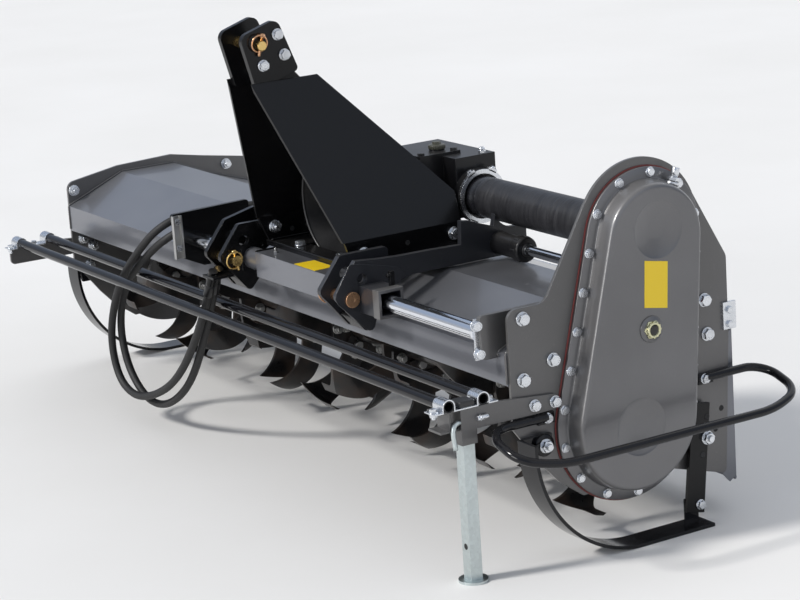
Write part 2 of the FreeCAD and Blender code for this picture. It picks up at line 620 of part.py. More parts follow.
def make_case():
    """The chain case cover: a flange, a drafted bulge, two domes and the oil level glass."""
    face = size("near_x + gasket")
    rim = size("near_x + gasket + flange_wide")
    top = size("near_x + case_depth")
    draft = size("case_draft")
    flange = Part.Face(oval_wire(face, *case_ends("case_low_radius", "case_top_radius")))
    whole = flange.extrude(Vector(rim - face, 0, 0))
    foot = oval_wire(rim, *case_ends("case_low_bulge", "case_top_bulge"))
    brow = oval_wire(top, *case_ends("case_low_bulge", "case_top_bulge", draft))
    whole = whole.fuse(Part.makeLoft([foot, brow], True, True))
    rise = size("dome_rise")
    inset = draft + size("dome_inset")
    for y, z, radius in case_ends("case_low_bulge", "case_top_bulge", inset):
        ball = (radius ** 2 + rise ** 2) / (2 * rise)
        cap = Part.makeSphere(ball, Vector(top + rise - ball, y, z))
        whole = whole.fuse(cap.common(round_bar(top - rise / 2, top + rise, 2 * radius, y, z)))
    whole = whole.fuse(round_bar(top - rise, top + size("glass_rise"), size("glass_dia"),
                                 size("glass_y"), size("glass_z")))
    keep(feature("case", whole.removeSplitter()), "chain_case_cover")
    rim_ends = case_ends("case_low_radius", "case_top_radius", -size("gasket_rim"))
    sheet_face = Part.Face(oval_wire(size("near_x"), *rim_ends))
    keep(feature("gasket_sheet", sheet_face.extrude(Vector(size("gasket"), 0, 0))),
         "chain_case_gasket")


def make_drive_tube():
    """The tube that carries the cross drive, with its flange on the near end plate."""
    end = "near_x - plate_thick"
    tube = pipe("drive_pipe", "X", "tube_dia", "tube_wall", "tube_start", end + " - tube_start",
                "drive_y", "drive_z")
    start = end + " - collar_thick"
    collar = rod("drive_collar", "X", "collar_dia", start, "collar_thick", "drive_y", "drive_z")
    hole = rod("drive_hole", "X", "tube_dia", start, "collar_thick", "drive_y", "drive_z")
    keep(fuse("drive_tube", [tube, cut("drive_ring", collar, hole)]), "drive_tube")


def make_slide():
    """The chromed slide bar, the two plates that hold it and the straps on them."""
    keep(rod("slide_bar", "X", "bar_dia", "bar_far", "bar_near - bar_far", "-bar_y", "bar_z"),
         "slide_bar")
    hole = [("-bar_y", "bar_z", "bar_dia")]
    keep(plate("holder_plate_far", FAR_HOLDER, "holder_far", "holder_thick", hole),
         "bar_bracket_far")
    keep(plate("holder_plate_near", NEAR_HOLDER, "bar_near + strap_thick", "holder_thick"),
         "bar_bracket_near")
    face, front = "holder_far + holder_thick", "-bar_y - strap_front"
    web = block("strap_web", (face, front, "strap_low"),
                (face + " + strap_thick", front + " + strap_wide", "strap_high"))
    edges = [block("strap_edge%d" % index, (face, y, "strap_low"),
                   (face + " + 3 * strap_thick", "%s + strap_thick" % y, "strap_high"))
             for index, y in enumerate((front, front + " + strap_wide - strap_thick"))]
    keep(fuse("strap_whole", [web] + edges), "bar_strap_far")
    keep(block("stop", ("bar_near", "-bar_y - stop_front", "bar_z - stop_low"),
               ("bar_near + strap_thick", "-bar_y + stop_rear", "bar_z + stop_high")),
         "bar_strap_near")


def make_arms():
    """The two flat arms that carry the guard tubes."""
    keep(plate("arm_near", NEAR_ARM, "near_x", "arm_thick"), "guard_arm_near")
    keep(plate("arm_far", FAR_ARM, "far_x - arm_thick", "arm_thick"), "guard_arm_far")


def hoop_shape(start):
    """Make a strap that humps over both guard tubes."""
    wide, thick, lip = size("hoop_wide"), size("hoop_thick"), size("hoop_lip")
    floor, half = size("arm_top_z"), size("guard_dia") / 2
    front, rear = size(GUARD_FRONT), size(GUARD_REAR)
    outer = half + thick
    low, long = front - outer - lip, rear - front + 2 * (outer + lip)
    shape = Part.makeBox(wide, long, thick, Vector(start, low, floor))
    for y in (front, rear):
        hump = Part.makeBox(wide, 2 * outer, half, Vector(start, y - outer, floor))
        shape = shape.fuse(hump).fuse(round_bar(start, start + wide, 2 * outer, y, floor + half))
    below = Part.makeBox(wide, long, 2 * outer, Vector(start, low, floor - 2 * outer))
    shape = shape.cut(below)
    for y in (front, rear):
        bore = round_bar(start, start + wide, 2 * half, y, floor + half)
        mouth = Part.makeBox(wide, 2 * half, half, Vector(start, y - half, floor))
        shape = shape.cut(bore.fuse(mouth))
    return shape.removeSplitter()


def make_guards():
    """The two guard tubes ahead of the rotor and the hoop straps over their ends."""
    up = "arm_top_z + guard_dia / 2"
    tubes = [pipe("guard_" + name, "X", "guard_dia", "guard_wall", "guard_far",
                  "guard_near - guard_far", y, up)
             for name, y in (("front", GUARD_FRONT), ("rear", GUARD_REAR))]
    keep(group("guards", tubes), "guard_tubes")
    keep(feature("hoop_far", hoop_shape(size("guard_far"))), "guard_hoop_far")
    half = size("leg_side / 2 + seat")
    corner = Vector(size(LEG_X) - half, size(LEG_Y) - half, size("arm_top_z") - half)
    hole = Part.makeBox(2 * half, 2 * half, 2 * half, corner)
    hoop = hoop_shape(size("guard_near - hoop_wide")).cut(hole)
    keep(feature("hoop_near", hoop), "guard_hoop_near")


def make_stand():
    """The socket on the near arm, the channel ahead of it and the parking leg."""
    x, y = LEG_X, LEG_Y
    outer = square_post("socket_outer", x, y, "socket_side / 2", "socket_low_z", "arm_top_z")
    inner = square_post("socket_bore", x, y, "(leg_side / 2 + seat)", "socket_low_z", "arm_top_z")
    front = "-arm_reach - socket_side"
    left = "near_x + arm_thick - socket_side - channel_past"
    right = "near_x + arm_thick - channel_short"
    roof = block("channel_roof", (left, front + " - channel_wide", "arm_top_z - channel_wall"),
                 (right, front, "arm_top_z"))
    floor = block("channel_floor", (left, front + " - channel_wide", "arm_low_z"),
                  (right, front, "arm_low_z + channel_wall"))
    web = block("channel_web", (left, front + " - channel_wide / 2", "arm_low_z"),
                (right, front + " - channel_wide / 2 + channel_wall", "arm_top_z"))
    keep(cut("socket", fuse("socket_whole", [outer, roof, floor, web]), inner), "stand_socket")
    top = "arm_top_z + leg_rise"
    leg = square_post("leg_outer", x, y, "leg_side / 2", "foot_thick", top)
    core = square_post("leg_core", x, y, "(leg_side / 2 - leg_wall)", "foot_thick",
                       top + " - leg_wall")
    foot = post("foot", "foot_dia", "0", "foot_thick", x, y)
    keep(fuse("leg", [cut("leg_tube", leg, core), foot]), "stand_leg")


def skid_edges(x, radius, rise):
    """Draw the sole's curved front and flat rear at one surface, and give its two ends."""
    y, z = -size("skid_y"), size("skid_radius")
    slant = math.sqrt(0.5)
    front = Vector(x, y - radius, z + size("skid_head"))
    spot = Vector(x, y - radius, z)
    middle = Vector(x, y - radius * slant, z - radius * slant)
    low = Vector(x, y, rise)
    rear = Vector(x, size("skid_flat"), rise)
    return [Part.LineSegment(front, spot).toShape(), Part.Arc(spot, middle, low).toShape(),
            Part.LineSegment(low, rear).toShape()], front, rear


def skid_sole(x):
    """Make a skid's bent sole from its inner edge on."""
    thick = size("skid_thick")
    outer, outer_front, outer_rear = skid_edges(x, size("skid_radius"), 0)
    inner, inner_front, inner_rear = skid_edges(x, size("skid_radius") - thick, thick)
    edges = outer + [Part.LineSegment(outer_rear, inner_rear).toShape()] + inner[::-1]
    edges.append(Part.LineSegment(inner_front, outer_front).toShape())
    face = Part.Face(Part.Wire(Part.__sortEdges__(edges)))
    return face.extrude(Vector(size("skid_width"), 0, 0))


def make_skids():
    """Both skids and the flat uprights that hold their rear ends."""
    tab, thick = size("tab_thick"), size("upright_thick")
    for side, label in ((1, "near"), (-1, "far")):
        face = size("near_x") if side > 0 else size("far_x")
        away = size("gasket + flange_wide") if side > 0 else tab
        sole = skid_sole(face if side > 0 else face - size("skid_width"))
        lug = slab(worked(SKID_LUG), face, side * size("lug_thick"))
        heel = slab(worked(SKID_TAB), face + side * (away - tab), side * tab)
        keep(feature("skid_" + label, sole.fuse([lug, heel]).removeSplitter()), "skid_" + label)
        bar = slab(SKID_BAR, face + side * away, side * thick)
        ends = sorted((face, face + side * (away + thick)))
        spacer = round_bar(ends[0], ends[1], size("spacer_dia"), size("spacer_y"),
                           size("spacer_z"))
        keep(feature("upright_" + label, bar.fuse(spacer).removeSplitter()),
             "skid_upright_" + label)


def make_loop():
    """The round bar that guards the side of the chain case, with its flattened ends."""
    inner, outer = size("near_x + loop_dia / 2"), size("near_x + loop_reach")
    top, pad = size("loop_end_z"), size("loop_pad_y")
    low = top - size("loop_drop")
    rear, front, bend = size("loop_rear"), -size("loop_front"), size("loop_bend")
    side = outer - bend / 3
    points = [(inner, pad, top), (inner, rear, top), (side, rear, (top + 2 * low) / 3),
              (outer, rear - bend, low), (outer, front + bend, low), (side, front, low + bend / 5),
              (inner, front, top), (inner, -pad, top)]
    shape = round_tube("side_guard", points, size("loop_dia"))
    long, high = size("loop_pad_long"), size("loop_pad_high")
    for y in (pad, -pad):
        flat = Part.makeBox(size("arm_thick"), long, high,
                            Vector(size("near_x"), y - long / 2, top - high + size("loop_dia") / 2))
        shape = shape.fuse(flat)
    keep(feature("side_loop", shape.removeSplitter()), "side_guard")


def make_bearing():
    """The rotor's outer bearing housing on the far end plate."""
    cup = rod("bearing_cup", "X", "bearing_dia", "far_x - bearing_long", "bearing_long", "0",
              "rotor_z")
    bore = rod("bearing_bore", "X", "rotor_stub + 2 * play",
               "far_x - bearing_long + bearing_cap", "bearing_long - bearing_cap", "0", "rotor_z")
    keep(cut("bearing", cup, bore), "rotor_bearing")


def open_run(points):
    """Draw straight edges through (y, z) points."""
    spots = [Vector(0, y, z) for y, z in points]
    return [Part.LineSegment(start, end).toShape() for start, end in zip(spots, spots[1:])]


def bow(points):
    """Draw an arc through three (y, z) points."""
    return Part.Arc(*[Vector(0, y, z) for y, z in points]).toShape()


def tine_side():
    """Draw a tine seen along the rotor: a shank that sweeps back into a wide wing."""
    edges = open_run(TINE_SHANK) + [bow(TINE_BACK)] + open_run(TINE_TOE) + [bow(TINE_FRONT)]
    return Part.Face(Part.Wire(edges))


def tine_bend(hand):
    """Draw a tine seen from the front: a strip bent from the shank across the rotor."""
    thick, tip, root = size("tine_thick"), size("rotor_radius"), TINE_SHANK[1][1]
    reach, outer = size("tine_wing"), size("tine_bend")
    inner, slant = outer - thick, math.sqrt(0.5)
    spot = lambda x, z: Vector(hand * x, 0, z)
    arc = lambda radius: (spot(outer - radius, tip - outer),
                          spot(outer - radius * slant, tip - outer + radius * slant),
                          spot(outer, tip - outer + radius))
    start, middle, end = arc(outer)
    last, between, first = arc(inner)
    edges = [Part.LineSegment(spot(0, root), start).toShape(),
             Part.Arc(start, middle, end).toShape()]
    runs = [(end, spot(reach, tip)), (spot(reach, tip), spot(reach, tip - thick)),
            (spot(reach, tip - thick), first)]
    edges += [Part.LineSegment(begin, close).toShape() for begin, close in runs]
    edges.append(Part.Arc(first, between, last).toShape())
    runs = [(last, spot(thick, root)), (spot(thick, root), spot(0, root))]
    edges += [Part.LineSegment(begin, close).toShape() for begin, close in runs]
    return Part.Face(Part.Wire(edges))


def tine_shape(hand):
    """One tine at the top of its flange, inside the circle of the tine tips."""
    tip, reach = size("rotor_radius"), size("tine_wing")
    strip = tine_bend(hand)
    strip.translate(Vector(0, -tip, 0))
    strip = strip.extrude(Vector(0, 2 * tip, 0))
    side = tine_side().extrude(Vector(hand * reach, 0, 0))
    ends = sorted((0, hand * reach))
    return strip.common(side).common(round_bar(*ends, 2 * tip, 0, 0)).removeSplitter()


def make_rotor():
    """The rotor: a tube with flanges and stub shafts, and its two hands of tines."""
    left, right = size("far_x + plate_thick"), size("near_x - plate_thick")
    gap, half = size("rotor_gap"), size("disc_thick") / 2
    z = size("rotor_z")
    stub_start = size("far_x - bearing_long + bearing_cap + 1")
    whole = round_bar(left + gap, right - gap, size("rotor_tube"), 0, z)
    whole = whole.fuse(round_bar(stub_start, size("near_x - seat"), size("rotor_stub"), 0, z))
    count, margin = int(size("disc_count")), size("disc_margin")
    pitch = (right - left - 2 * margin) / (count - 1)
    hands = {1: [], -1: []}
    for index in range(count):
        x = left + margin + index * pitch
        whole = whole.fuse(round_bar(x - half, x + half, size("disc_dia"), 0, z))
        for hand in hands:
            for turn in range(3):
                angle = turn * 120 + (60 if hand < 0 else 0) + index * size("disc_turn")
                blade = tine_shape(hand)
                blade.rotate(Vector(), TO_PLUS_X, angle)
                blade.translate(Vector(x + hand * half, 0, z))
                hands[hand].append(blade)
    keep(feature("rotor_body", whole), "rotor_shaft")
    keep(feature("tines_plus", Part.makeCompound(hands[1])), "tines_right")
    keep(feature("tines_minus", Part.makeCompound(hands[-1])), "tines_left")


def make_clevises():
    """The lower hitch plates: an outer arm that runs back, and a short inner plate, each side."""
    holes = [("-spare_y", "spare_z", "pin_dia")]
    offset = "(clevis_gap + clevis_thick) / 2"
    tails = {("outer", 1): NEAR_TAIL, ("outer", -1): FAR_TAIL,
             ("inner", 1): INNER_TAIL, ("inner", -1): INNER_TAIL}
    for (kind, side), tail in tails.items():
        way = side if kind == "outer" else -side
        start = "mast_x + %d * hitch_spread / 2 + %d * %s - clevis_thick / 2" % (side, way, offset)
        name = "hitch_%s_%s" % (kind, "near" if side > 0 else "far")
        blank = plate(name + "_blank", CLEVIS_NOSE + tail, start, "clevis_thick", holes)
        drills = [rod(name + "_tunnel", "X", "tunnel_dia", start, "clevis_thick", "-bar_y",
                      "bar_z"),
                  rod(name + "_eye", "X", "pin_dia", start, "clevis_thick", "-pin_y", "pin_z")]
        if tail is NEAR_TAIL:
            drills.append(rod(name + "_notch", "X", "tube_dia + 2 * band_gap", start,
                              "clevis_thick", "drive_y", "drive_z"))
            drills.append(rod(name + "_seat", "X", "barrel_dia", start, "clevis_thick",
                              "barrel_y", "barrel_z"))
        keep(cut(name, blank, *drills), name)


def make_pins():
    """The lower hitch pins, heads outward or toward the case, and the top link pin."""
    for side, label in ((1, "near"), (-1, "far")):
        low = "mast_x + %d * hitch_spread / 2 - clevis_gap / 2 - clevis_thick" % side
        high = low + " + clevis_gap + 2 * clevis_thick"
        start = low + " - pin_tail" if side > 0 else low
        shank = rod("pin_" + label, "X", "pin_dia", start,
                    "clevis_gap + 2 * clevis_thick + pin_tail", "-pin_y", "pin_z")
        edge = high if side > 0 else low + " - pin_head"
        head = rod("pin_head_" + label, "X", "pin_dia + pin_rim", edge, "pin_head", "-pin_y",
                   "pin_z")
        keep(fuse("pin_whole_" + label, [shank, head]), "hitch_pin_" + label)
    keep(rod("top_pin", "X", "top_pin_dia", "mast_x - ear_gap / 2 - ear_thick - pin_tail",
             "ear_gap + 2 * ear_thick + 2 * pin_tail", "-top_y", "top_z"), "top_link_pin")


def mast_shape():
    """One mast plate on the +X side: splayed from the ear down, then upright to its foot."""
    foot_z, bend_z = size("base_low_z + base_thick"), size("mast_bend_z")
    rim, head_z = size("ear_gap / 2 + ear_thick"), size("ear_low_z")
    foot, thick, tuck = size(MAST_FOOT), size("mast_thick"), size("mast_tuck")
    lean = math.atan2(foot - rim, head_z - bend_z)
    spread = lambda z: rim + (head_z - z) * math.tan(lean)
    ring = [Vector(spread(z), y, z) for y, z in MAST_SIDE]
    shape = Part.Face(Part.makePolygon(ring + ring[:1]))
    shape = shape.extrude(Vector(thick * math.cos(lean), 0, thick * math.sin(lean)))
    reach, tall = size("top_y") * 2, head_z - foot_z
    under = Part.makeBox(2 * foot, reach, tall, Vector(0, -reach, bend_z - tall))
    inside = Part.makeBox(rim, reach, tall, Vector(0, -reach, head_z - tuck))
    skirt = slab(worked(MAST_SKIRT), foot, thick)
    return shape.cut(under).cut(inside).fuse(skirt).removeSplitter()


def make_mast():
    """The thick ears at the mast's head and the splayed plates below them."""
    ears = []
    for side, label in ((1, "near"), (-1, "far")):
        start = "mast_x + %d * (ear_gap + ear_thick) / 2 - ear_thick / 2" % side
        blank = plate("ear_" + label, MAST_EAR, start, "ear_thick")
        eye = rod("ear_eye_" + label, "X", "top_pin_dia", start, "ear_thick", "-top_y", "top_z")
        ears.append(cut("ear_cut_" + label, blank, eye))
        shape = mast_shape()
        if side < 0:
            shape = shape.mirror(Vector(), TO_PLUS_X)
        shape.translate(Vector(size("mast_x"), 0, 0))
        keep(feature("mast_" + label, shape), "mast_plate_" + label)
    keep(group("ears", ears), "mast_ears")


def make_beam():
    """The sleeve that slides on the bar and the base plate above it."""
    half = "beam_side / 2"
    inner = "mast_x + hitch_spread / 2 - clevis_gap / 2 - clevis_thick"
    start = "mast_x - hitch_spread / 2 + clevis_gap / 2 + clevis_thick"
    square = block("sleeve_square", ("beam_far", "-bar_y - %s" % half, "bar_z - %s" % half),
                   (inner, "-bar_y + %s" % half, "bar_z + %s" % half))
    round_end = rod("sleeve_round", "X", "sleeve_dia", start, "beam_far - (%s)" % start, "-bar_y",
                    "bar_z")
    bore = rod("sleeve_bore", "X", "bar_dia + 2 * play", start, "(%s) - (%s)" % (inner, start),
               "-bar_y", "bar_z")
    keep(cut("sleeve", fuse("sleeve_whole", [square, round_end]), bore), "sleeve_beam")
    start = "mast_x + (hitch_spread + clevis_gap) / 2 + clevis_thick"
    shells = [block("sleeve_end_" + name,
                    (start, "-bar_y - " + wide, "bar_z - " + wide),
                    (start + " + sleeve_past", "-bar_y + " + wide, "bar_z + " + wide))
              for name, wide in (("outer", half), ("inner", "(beam_side / 2 - sleeve_wall)"))]
    keep(cut("sleeve_end_tube", *shells), "sleeve_end")
    top = "base_low_z + base_thick"
    side = "(%s + mast_thick + base_rim)" % MAST_FOOT
    main = block("base_main", ("mast_x - " + side, "-base_front", "base_low_z"),
                 ("mast_x + " + side, "-base_rear", top))
    wide = "(hitch_spread + clevis_gap) / 2"
    strip = block("base_strip", ("mast_x - " + wide, "-strip_front", "base_low_z"),
                  ("mast_x + " + wide, "-strip_rear", top))
    window = block("base_window", ("mast_x - window_half", "-window_front", "base_low_z"),
                   ("mast_x + window_half", "-window_rear", top))
    keep(cut("base", fuse("base_whole", [main, strip]), window), "gearbox_base")


def make_gearbox():
    """The gearbox round the drive tube, its pedestal, cover, side neck and breather."""
    foot_z = "base_low_z + base_thick"
    pieces = [
        block("box_body", ("box_far", "-box_front", "box_low_z"),
              ("box_near", "box_rear", "box_top_z")),
        block("box_neck", ("box_near", "neck_front", "box_low_z"),
              ("neck_end", "box_rear", "box_top_z")),
        block("box_foot", ("box_far", "-box_front", foot_z),
              ("box_near", "-pedestal_rear", "box_low_z")),
        block("box_lid", ("box_near - lid_long", "-lid_half", "box_top_z"),
              ("box_near", "lid_half", "box_top_z + lid_rise")),
        rod("box_ring", "X", "ring_dia", "neck_end", "ring_wide", "drive_y", "drive_z"),
        post("box_cap", "cap_dia", "box_top_z + lid_rise", "cap_rise", "box_near - cap_inset",
             "cap_y"),
    ]
    bore = rod("box_bore", "X", "tube_dia + 2 * play", "box_far", "neck_end + ring_wide - box_far",
               "drive_y", "drive_z")
    socket = rod("box_socket", "Y", "spline_dia + 2 * play", "-box_front", "spline_deep",
                 "mast_x", "drive_z")
    keep(cut("box", fuse("box_whole", pieces), bore, socket), "gearbox")
    outer = rod("band_outer", "X", "ring_dia", "neck_end + ring_wide", "band_wide", "drive_y",
                "drive_z")
    inner = rod("band_inner", "X", "tube_dia + 2 * band_gap", "neck_end + ring_wide", "band_wide",
                "drive_y", "drive_z")
    keep(cut("band", outer, inner), "tube_clamp")
    length = size("cone_y - box_front")
    origin = Vector(size("mast_x"), -size("box_front"), size("drive_z"))
    back = Vector(0, -1, 0)
    root, mouth, wall = size("cone_root / 2"), size("cone_mouth / 2"), size("cone_wall")
    outer = Part.makeCone(root, mouth, length, origin, back)
    inner = Part.makeCone(root - wall, mouth - wall, length, origin, back)
    keep(feature("cone", outer.cut(inner)), "shaft_guard")
    keep(rod("spline", "Y", "spline_dia", "-spline_y", "spline_y - box_front + spline_deep - 1",
             "mast_x", "drive_z"), "input_shaft")


def hose_route(port, loop):
    """Give a hose's corners in the row's own frame."""
    first = [size("barrel_near - barrel_long - port_past"), size("barrel_y"), size("barrel_z")]
    second = [size("mast_x - hitch_spread / 2"), -size("pin_y"), size("pin_z")]
    spots = [[a + b for a, b in zip(spot, first)] for spot in port]
    return spots + [[a + b for a, b in zip(spot, second)] for spot in loop]


def hose_routes():
    """Name the two hoses and give their corners."""
    return {"hose_outer": hose_route(HOSE_OUTER_PORT, HOSE_OUTER_LOOP),
            "hose_inner": hose_route(HOSE_INNER_PORT, HOSE_INNER_LOOP)}


def ferrule(end, inner, long):
    """Make the fitting that carries a hose on past its end, away from its inner point."""
    way = Vector(*end) - Vector(*inner)
    return Part.makeCylinder(size("ferrule_dia / 2"), size(long), Vector(*end), way)


def make_cylinder():
    """The side shift cylinder: its barrel rides on the headstock, its rod on the end plate."""
    start = "barrel_near - barrel_long"
    tube = rod("barrel_tube", "X", "barrel_dia", start, "barrel_long", "barrel_y", "barrel_z")
    far = start + " - port_past"
    port = block("barrel_port", (far, "barrel_y - port_half", "port_low_z"),
                 (far + " + port_wide", "barrel_y + port_half", "port_high_z"))
    chamber = rod("barrel_chamber", "X", "barrel_dia - 2 * barrel_wall",
                  start + " + barrel_cap", "barrel_long - barrel_cap - gland_long",
                  "barrel_y", "barrel_z")
    gland = rod("barrel_gland", "X", "rod_dia + 2 * play", "barrel_near - gland_long",
                "gland_long", "barrel_y", "barrel_z")
    fittings = [feature(name + "_fitting", ferrule(points[0], points[1], "ferrule_port"))
                for name, points in hose_routes().items()]
    keep(cut("barrel", fuse("barrel_whole", [tube, port] + fittings), chamber, gland),
         "cylinder_barrel")
    keep(rod("piston_rod", "X", "rod_dia", "rod_end", "near_x - plate_thick - rod_end",
             "barrel_y", "barrel_z"), "cylinder_rod")


def make_hoses():
    """The two hoses and the plate below the far clevis that holds their ends."""
    left = "mast_x - (hitch_spread + clevis_gap) / 2"
    low = "pin_z - rest_drop"
    pieces = [block("hose_plate", (left, "-pin_y - rest_ahead", low),
                    (left + " + clevis_gap", "-pin_y + rest_behind", low + " + rest_thick"))]
    for name, points in hose_routes().items():
        pieces.append(feature(name + "_end", ferrule(points[-1], points[-2], "ferrule_rest")))
        keep(feature(name + "_tube", round_tube(name, points, size("hose_dia"))), name)
    keep(fuse("hose_rest_whole", pieces), "hose_rest")


def make_shield():
    """The rear shield with its side wings and knuckles, and the rod it swings on."""
    start = size("far_x + plate_thick + shield_gap")
    end = size("near_x - plate_thick - shield_gap")
    thick, back = size("shield_thick"), size("shield_y")
    low, top = size("shield_low_z"), size("shield_top_z")
    y, z = size("hinge_y"), size("hinge_z")
    shape = Part.makeBox(end - start, thick, top - low, Vector(start, back - thick, low))
    shape = shape.fuse(slab(SHIELD_WING, start, thick))
    shape = shape.fuse(slab(SHIELD_WING, end - thick, thick))
    count, long = int(size("knuckle_count")), size("knuckle_long")
    pitch = (end - start - long) / (count - 1)
    for index in range(count):
        x = start + index * pitch
        shape = shape.fuse(round_bar(x, x + long, size("knuckle_dia"), y, z))
    bore = round_bar(start, end, size("hinge_dia + 2 * play"), y, z)
    keep(feature("shield", shape.cut(bore).removeSplitter()), "rear_shield")
    plate_wide = size("ear_plate")
    low_x, high_x = size("far_x") - plate_wide, size("near_x") + plate_wide
    hinge = round_bar(low_x, high_x, size("hinge_dia"), y, z)
    for x in (low_x, high_x - plate_wide):
        hinge = hinge.fuse(Part.makeBox(plate_wide, size("ear_ahead + ear_behind"),
                                        size("ear_below + ear_above"),
                                        Vector(x, y - size("ear_ahead"), z - size("ear_below"))))
    keep(feature("hinge", hinge.removeSplitter()), "shield_hinge")


def build():
    """Make every sub-part in order."""
    fill_sheet()
    make_hood()
    make_near_plate()
    make_far_plate()
    make_case()
    make_drive_tube()
    make_slide()
    make_arms()
    make_guards()
    make_stand()
    make_skids()
    make_loop()
    make_bearing()
    make_rotor()
    make_clevises()
    make_pins()
    make_mast()
    make_beam()
    make_gearbox()
    make_cylinder()
    make_hoses()
    make_shield()
    doc.recompute()


def export():
    """Check every object, then write each sub-part's solid."""
    broken = [item.Name for item in doc.Objects if {"Invalid", "Error"} & set(item.State)]
    for item in nodes:
        if item.Shape.isNull() or not item.Shape.isValid():
            broken.append(item.Label)
    if broken:
        raise RuntimeError("these did not build: " + ", ".join(broken))
    os.makedirs("parts", exist_ok=True)
    for item in nodes:
        item.Shape.exportStep("parts/" + item.Label + ".step")
    print(len(nodes), "sub-parts")


build()
export()
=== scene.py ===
"""Looks of a rotary tiller with a side-shift headstock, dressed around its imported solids."""

import json
import logging
import math
from bisect import bisect
from dataclasses import dataclass
from enum import Enum
from itertools import accumulate
from typing import Iterator, Sequence, Union

import bmesh
import bpy
from mathutils import Matrix, Vector


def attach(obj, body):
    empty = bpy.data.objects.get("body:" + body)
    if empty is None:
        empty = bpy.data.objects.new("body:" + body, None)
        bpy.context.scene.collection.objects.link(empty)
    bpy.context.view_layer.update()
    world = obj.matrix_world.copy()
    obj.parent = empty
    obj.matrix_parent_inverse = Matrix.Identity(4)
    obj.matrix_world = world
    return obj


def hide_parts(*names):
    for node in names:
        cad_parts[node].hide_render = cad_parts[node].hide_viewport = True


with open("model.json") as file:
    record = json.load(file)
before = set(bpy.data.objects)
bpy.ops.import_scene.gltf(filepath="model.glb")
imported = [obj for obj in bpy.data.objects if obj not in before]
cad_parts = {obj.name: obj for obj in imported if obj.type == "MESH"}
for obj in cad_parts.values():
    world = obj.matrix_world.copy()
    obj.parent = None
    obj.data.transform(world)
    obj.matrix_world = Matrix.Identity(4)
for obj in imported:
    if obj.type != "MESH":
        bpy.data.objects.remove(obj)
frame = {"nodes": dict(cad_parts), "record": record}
log = logging.getLogger("tiller")

SLOTS = {item["slot"] for item in frame["record"]["materials"]}
MM = 0.001
Point = tuple[float, float, float]
Colour = tuple[float, float, float]
Pair = tuple[float, float]
Outline = tuple[Pair, ...]


class Body(Enum):
    """The moving bodies that a piece can ride on."""

    TILLER = "tiller"
    ROTOR = "rotor"
    CARRIAGE = "carriage"
    SHAFT = "pto_shaft"
    SHIELD = "rear_shield"
    LEG = "stand_leg"


class Way(Enum):
    """The directions in which bolts and pins point."""

    NEAR = (1, 0, 0)
    FAR = (-1, 0, 0)
    AHEAD = (0, -1, 0)
    BACK = (0, 1, 0)
    UP = (0, 0, 1)
    DOWN = (0, 0, -1)


Aim = Union[Way, Sequence[float]]


def spot(x: float, y: float, z: float) -> Vector:
    """Give a point of the frame from its millimetres."""
    return Vector((x, y, z)) * MM


def placed(name: str, data: bpy.types.ID) -> bpy.types.Object:
    """Put a mesh, curve, lamp or camera into the scene.

    Args:
        name: the object's name.
        data: what it shows.

    Returns:
        The object.
    """
    thing = bpy.data.objects.new(name, data)
    bpy.context.scene.collection.objects.link(thing)
    return thing


# Materials


class Wire:
    """One output socket, with arithmetic that adds Math nodes behind it."""

    def __init__(self, bench: "Bench", socket: bpy.types.NodeSocket) -> None:
        """Hold the socket and the bench that it belongs to."""
        self.bench = bench
        self.socket = socket

    def maths(self, operation: str, first: "Value", second: "Value") -> "Wire":
        """Give the result of a Math node on two values or links."""
        return self.bench.node("ShaderNodeMath", {0: first, 1: second}, operation=operation)

    def __add__(self, other: "Value") -> "Wire":
        """Add a value."""
        return self.maths("ADD", self, other)

    def __radd__(self, other: "Value") -> "Wire":
        """Add this to a value."""
        return self.maths("ADD", other, self)

    def __sub__(self, other: "Value") -> "Wire":
        """Take a value away."""
        return self.maths("SUBTRACT", self, other)

    def __rsub__(self, other: "Value") -> "Wire":
        """Take this away from a value."""
        return self.maths("SUBTRACT", other, self)

    def __mul__(self, other: "Value") -> "Wire":
        """Multiply by a value."""
        return self.maths("MULTIPLY", self, other)

    def __rmul__(self, other: "Value") -> "Wire":
        """Multiply a value by this."""
        return self.maths("MULTIPLY", other, self)

    def limited(self) -> "Wire":
        """Keep the value from 0 to 1."""
        return self.maths("MINIMUM", self.maths("MAXIMUM", self, 0.0), 1.0)


Value = Union[Wire, float, Sequence[float]]


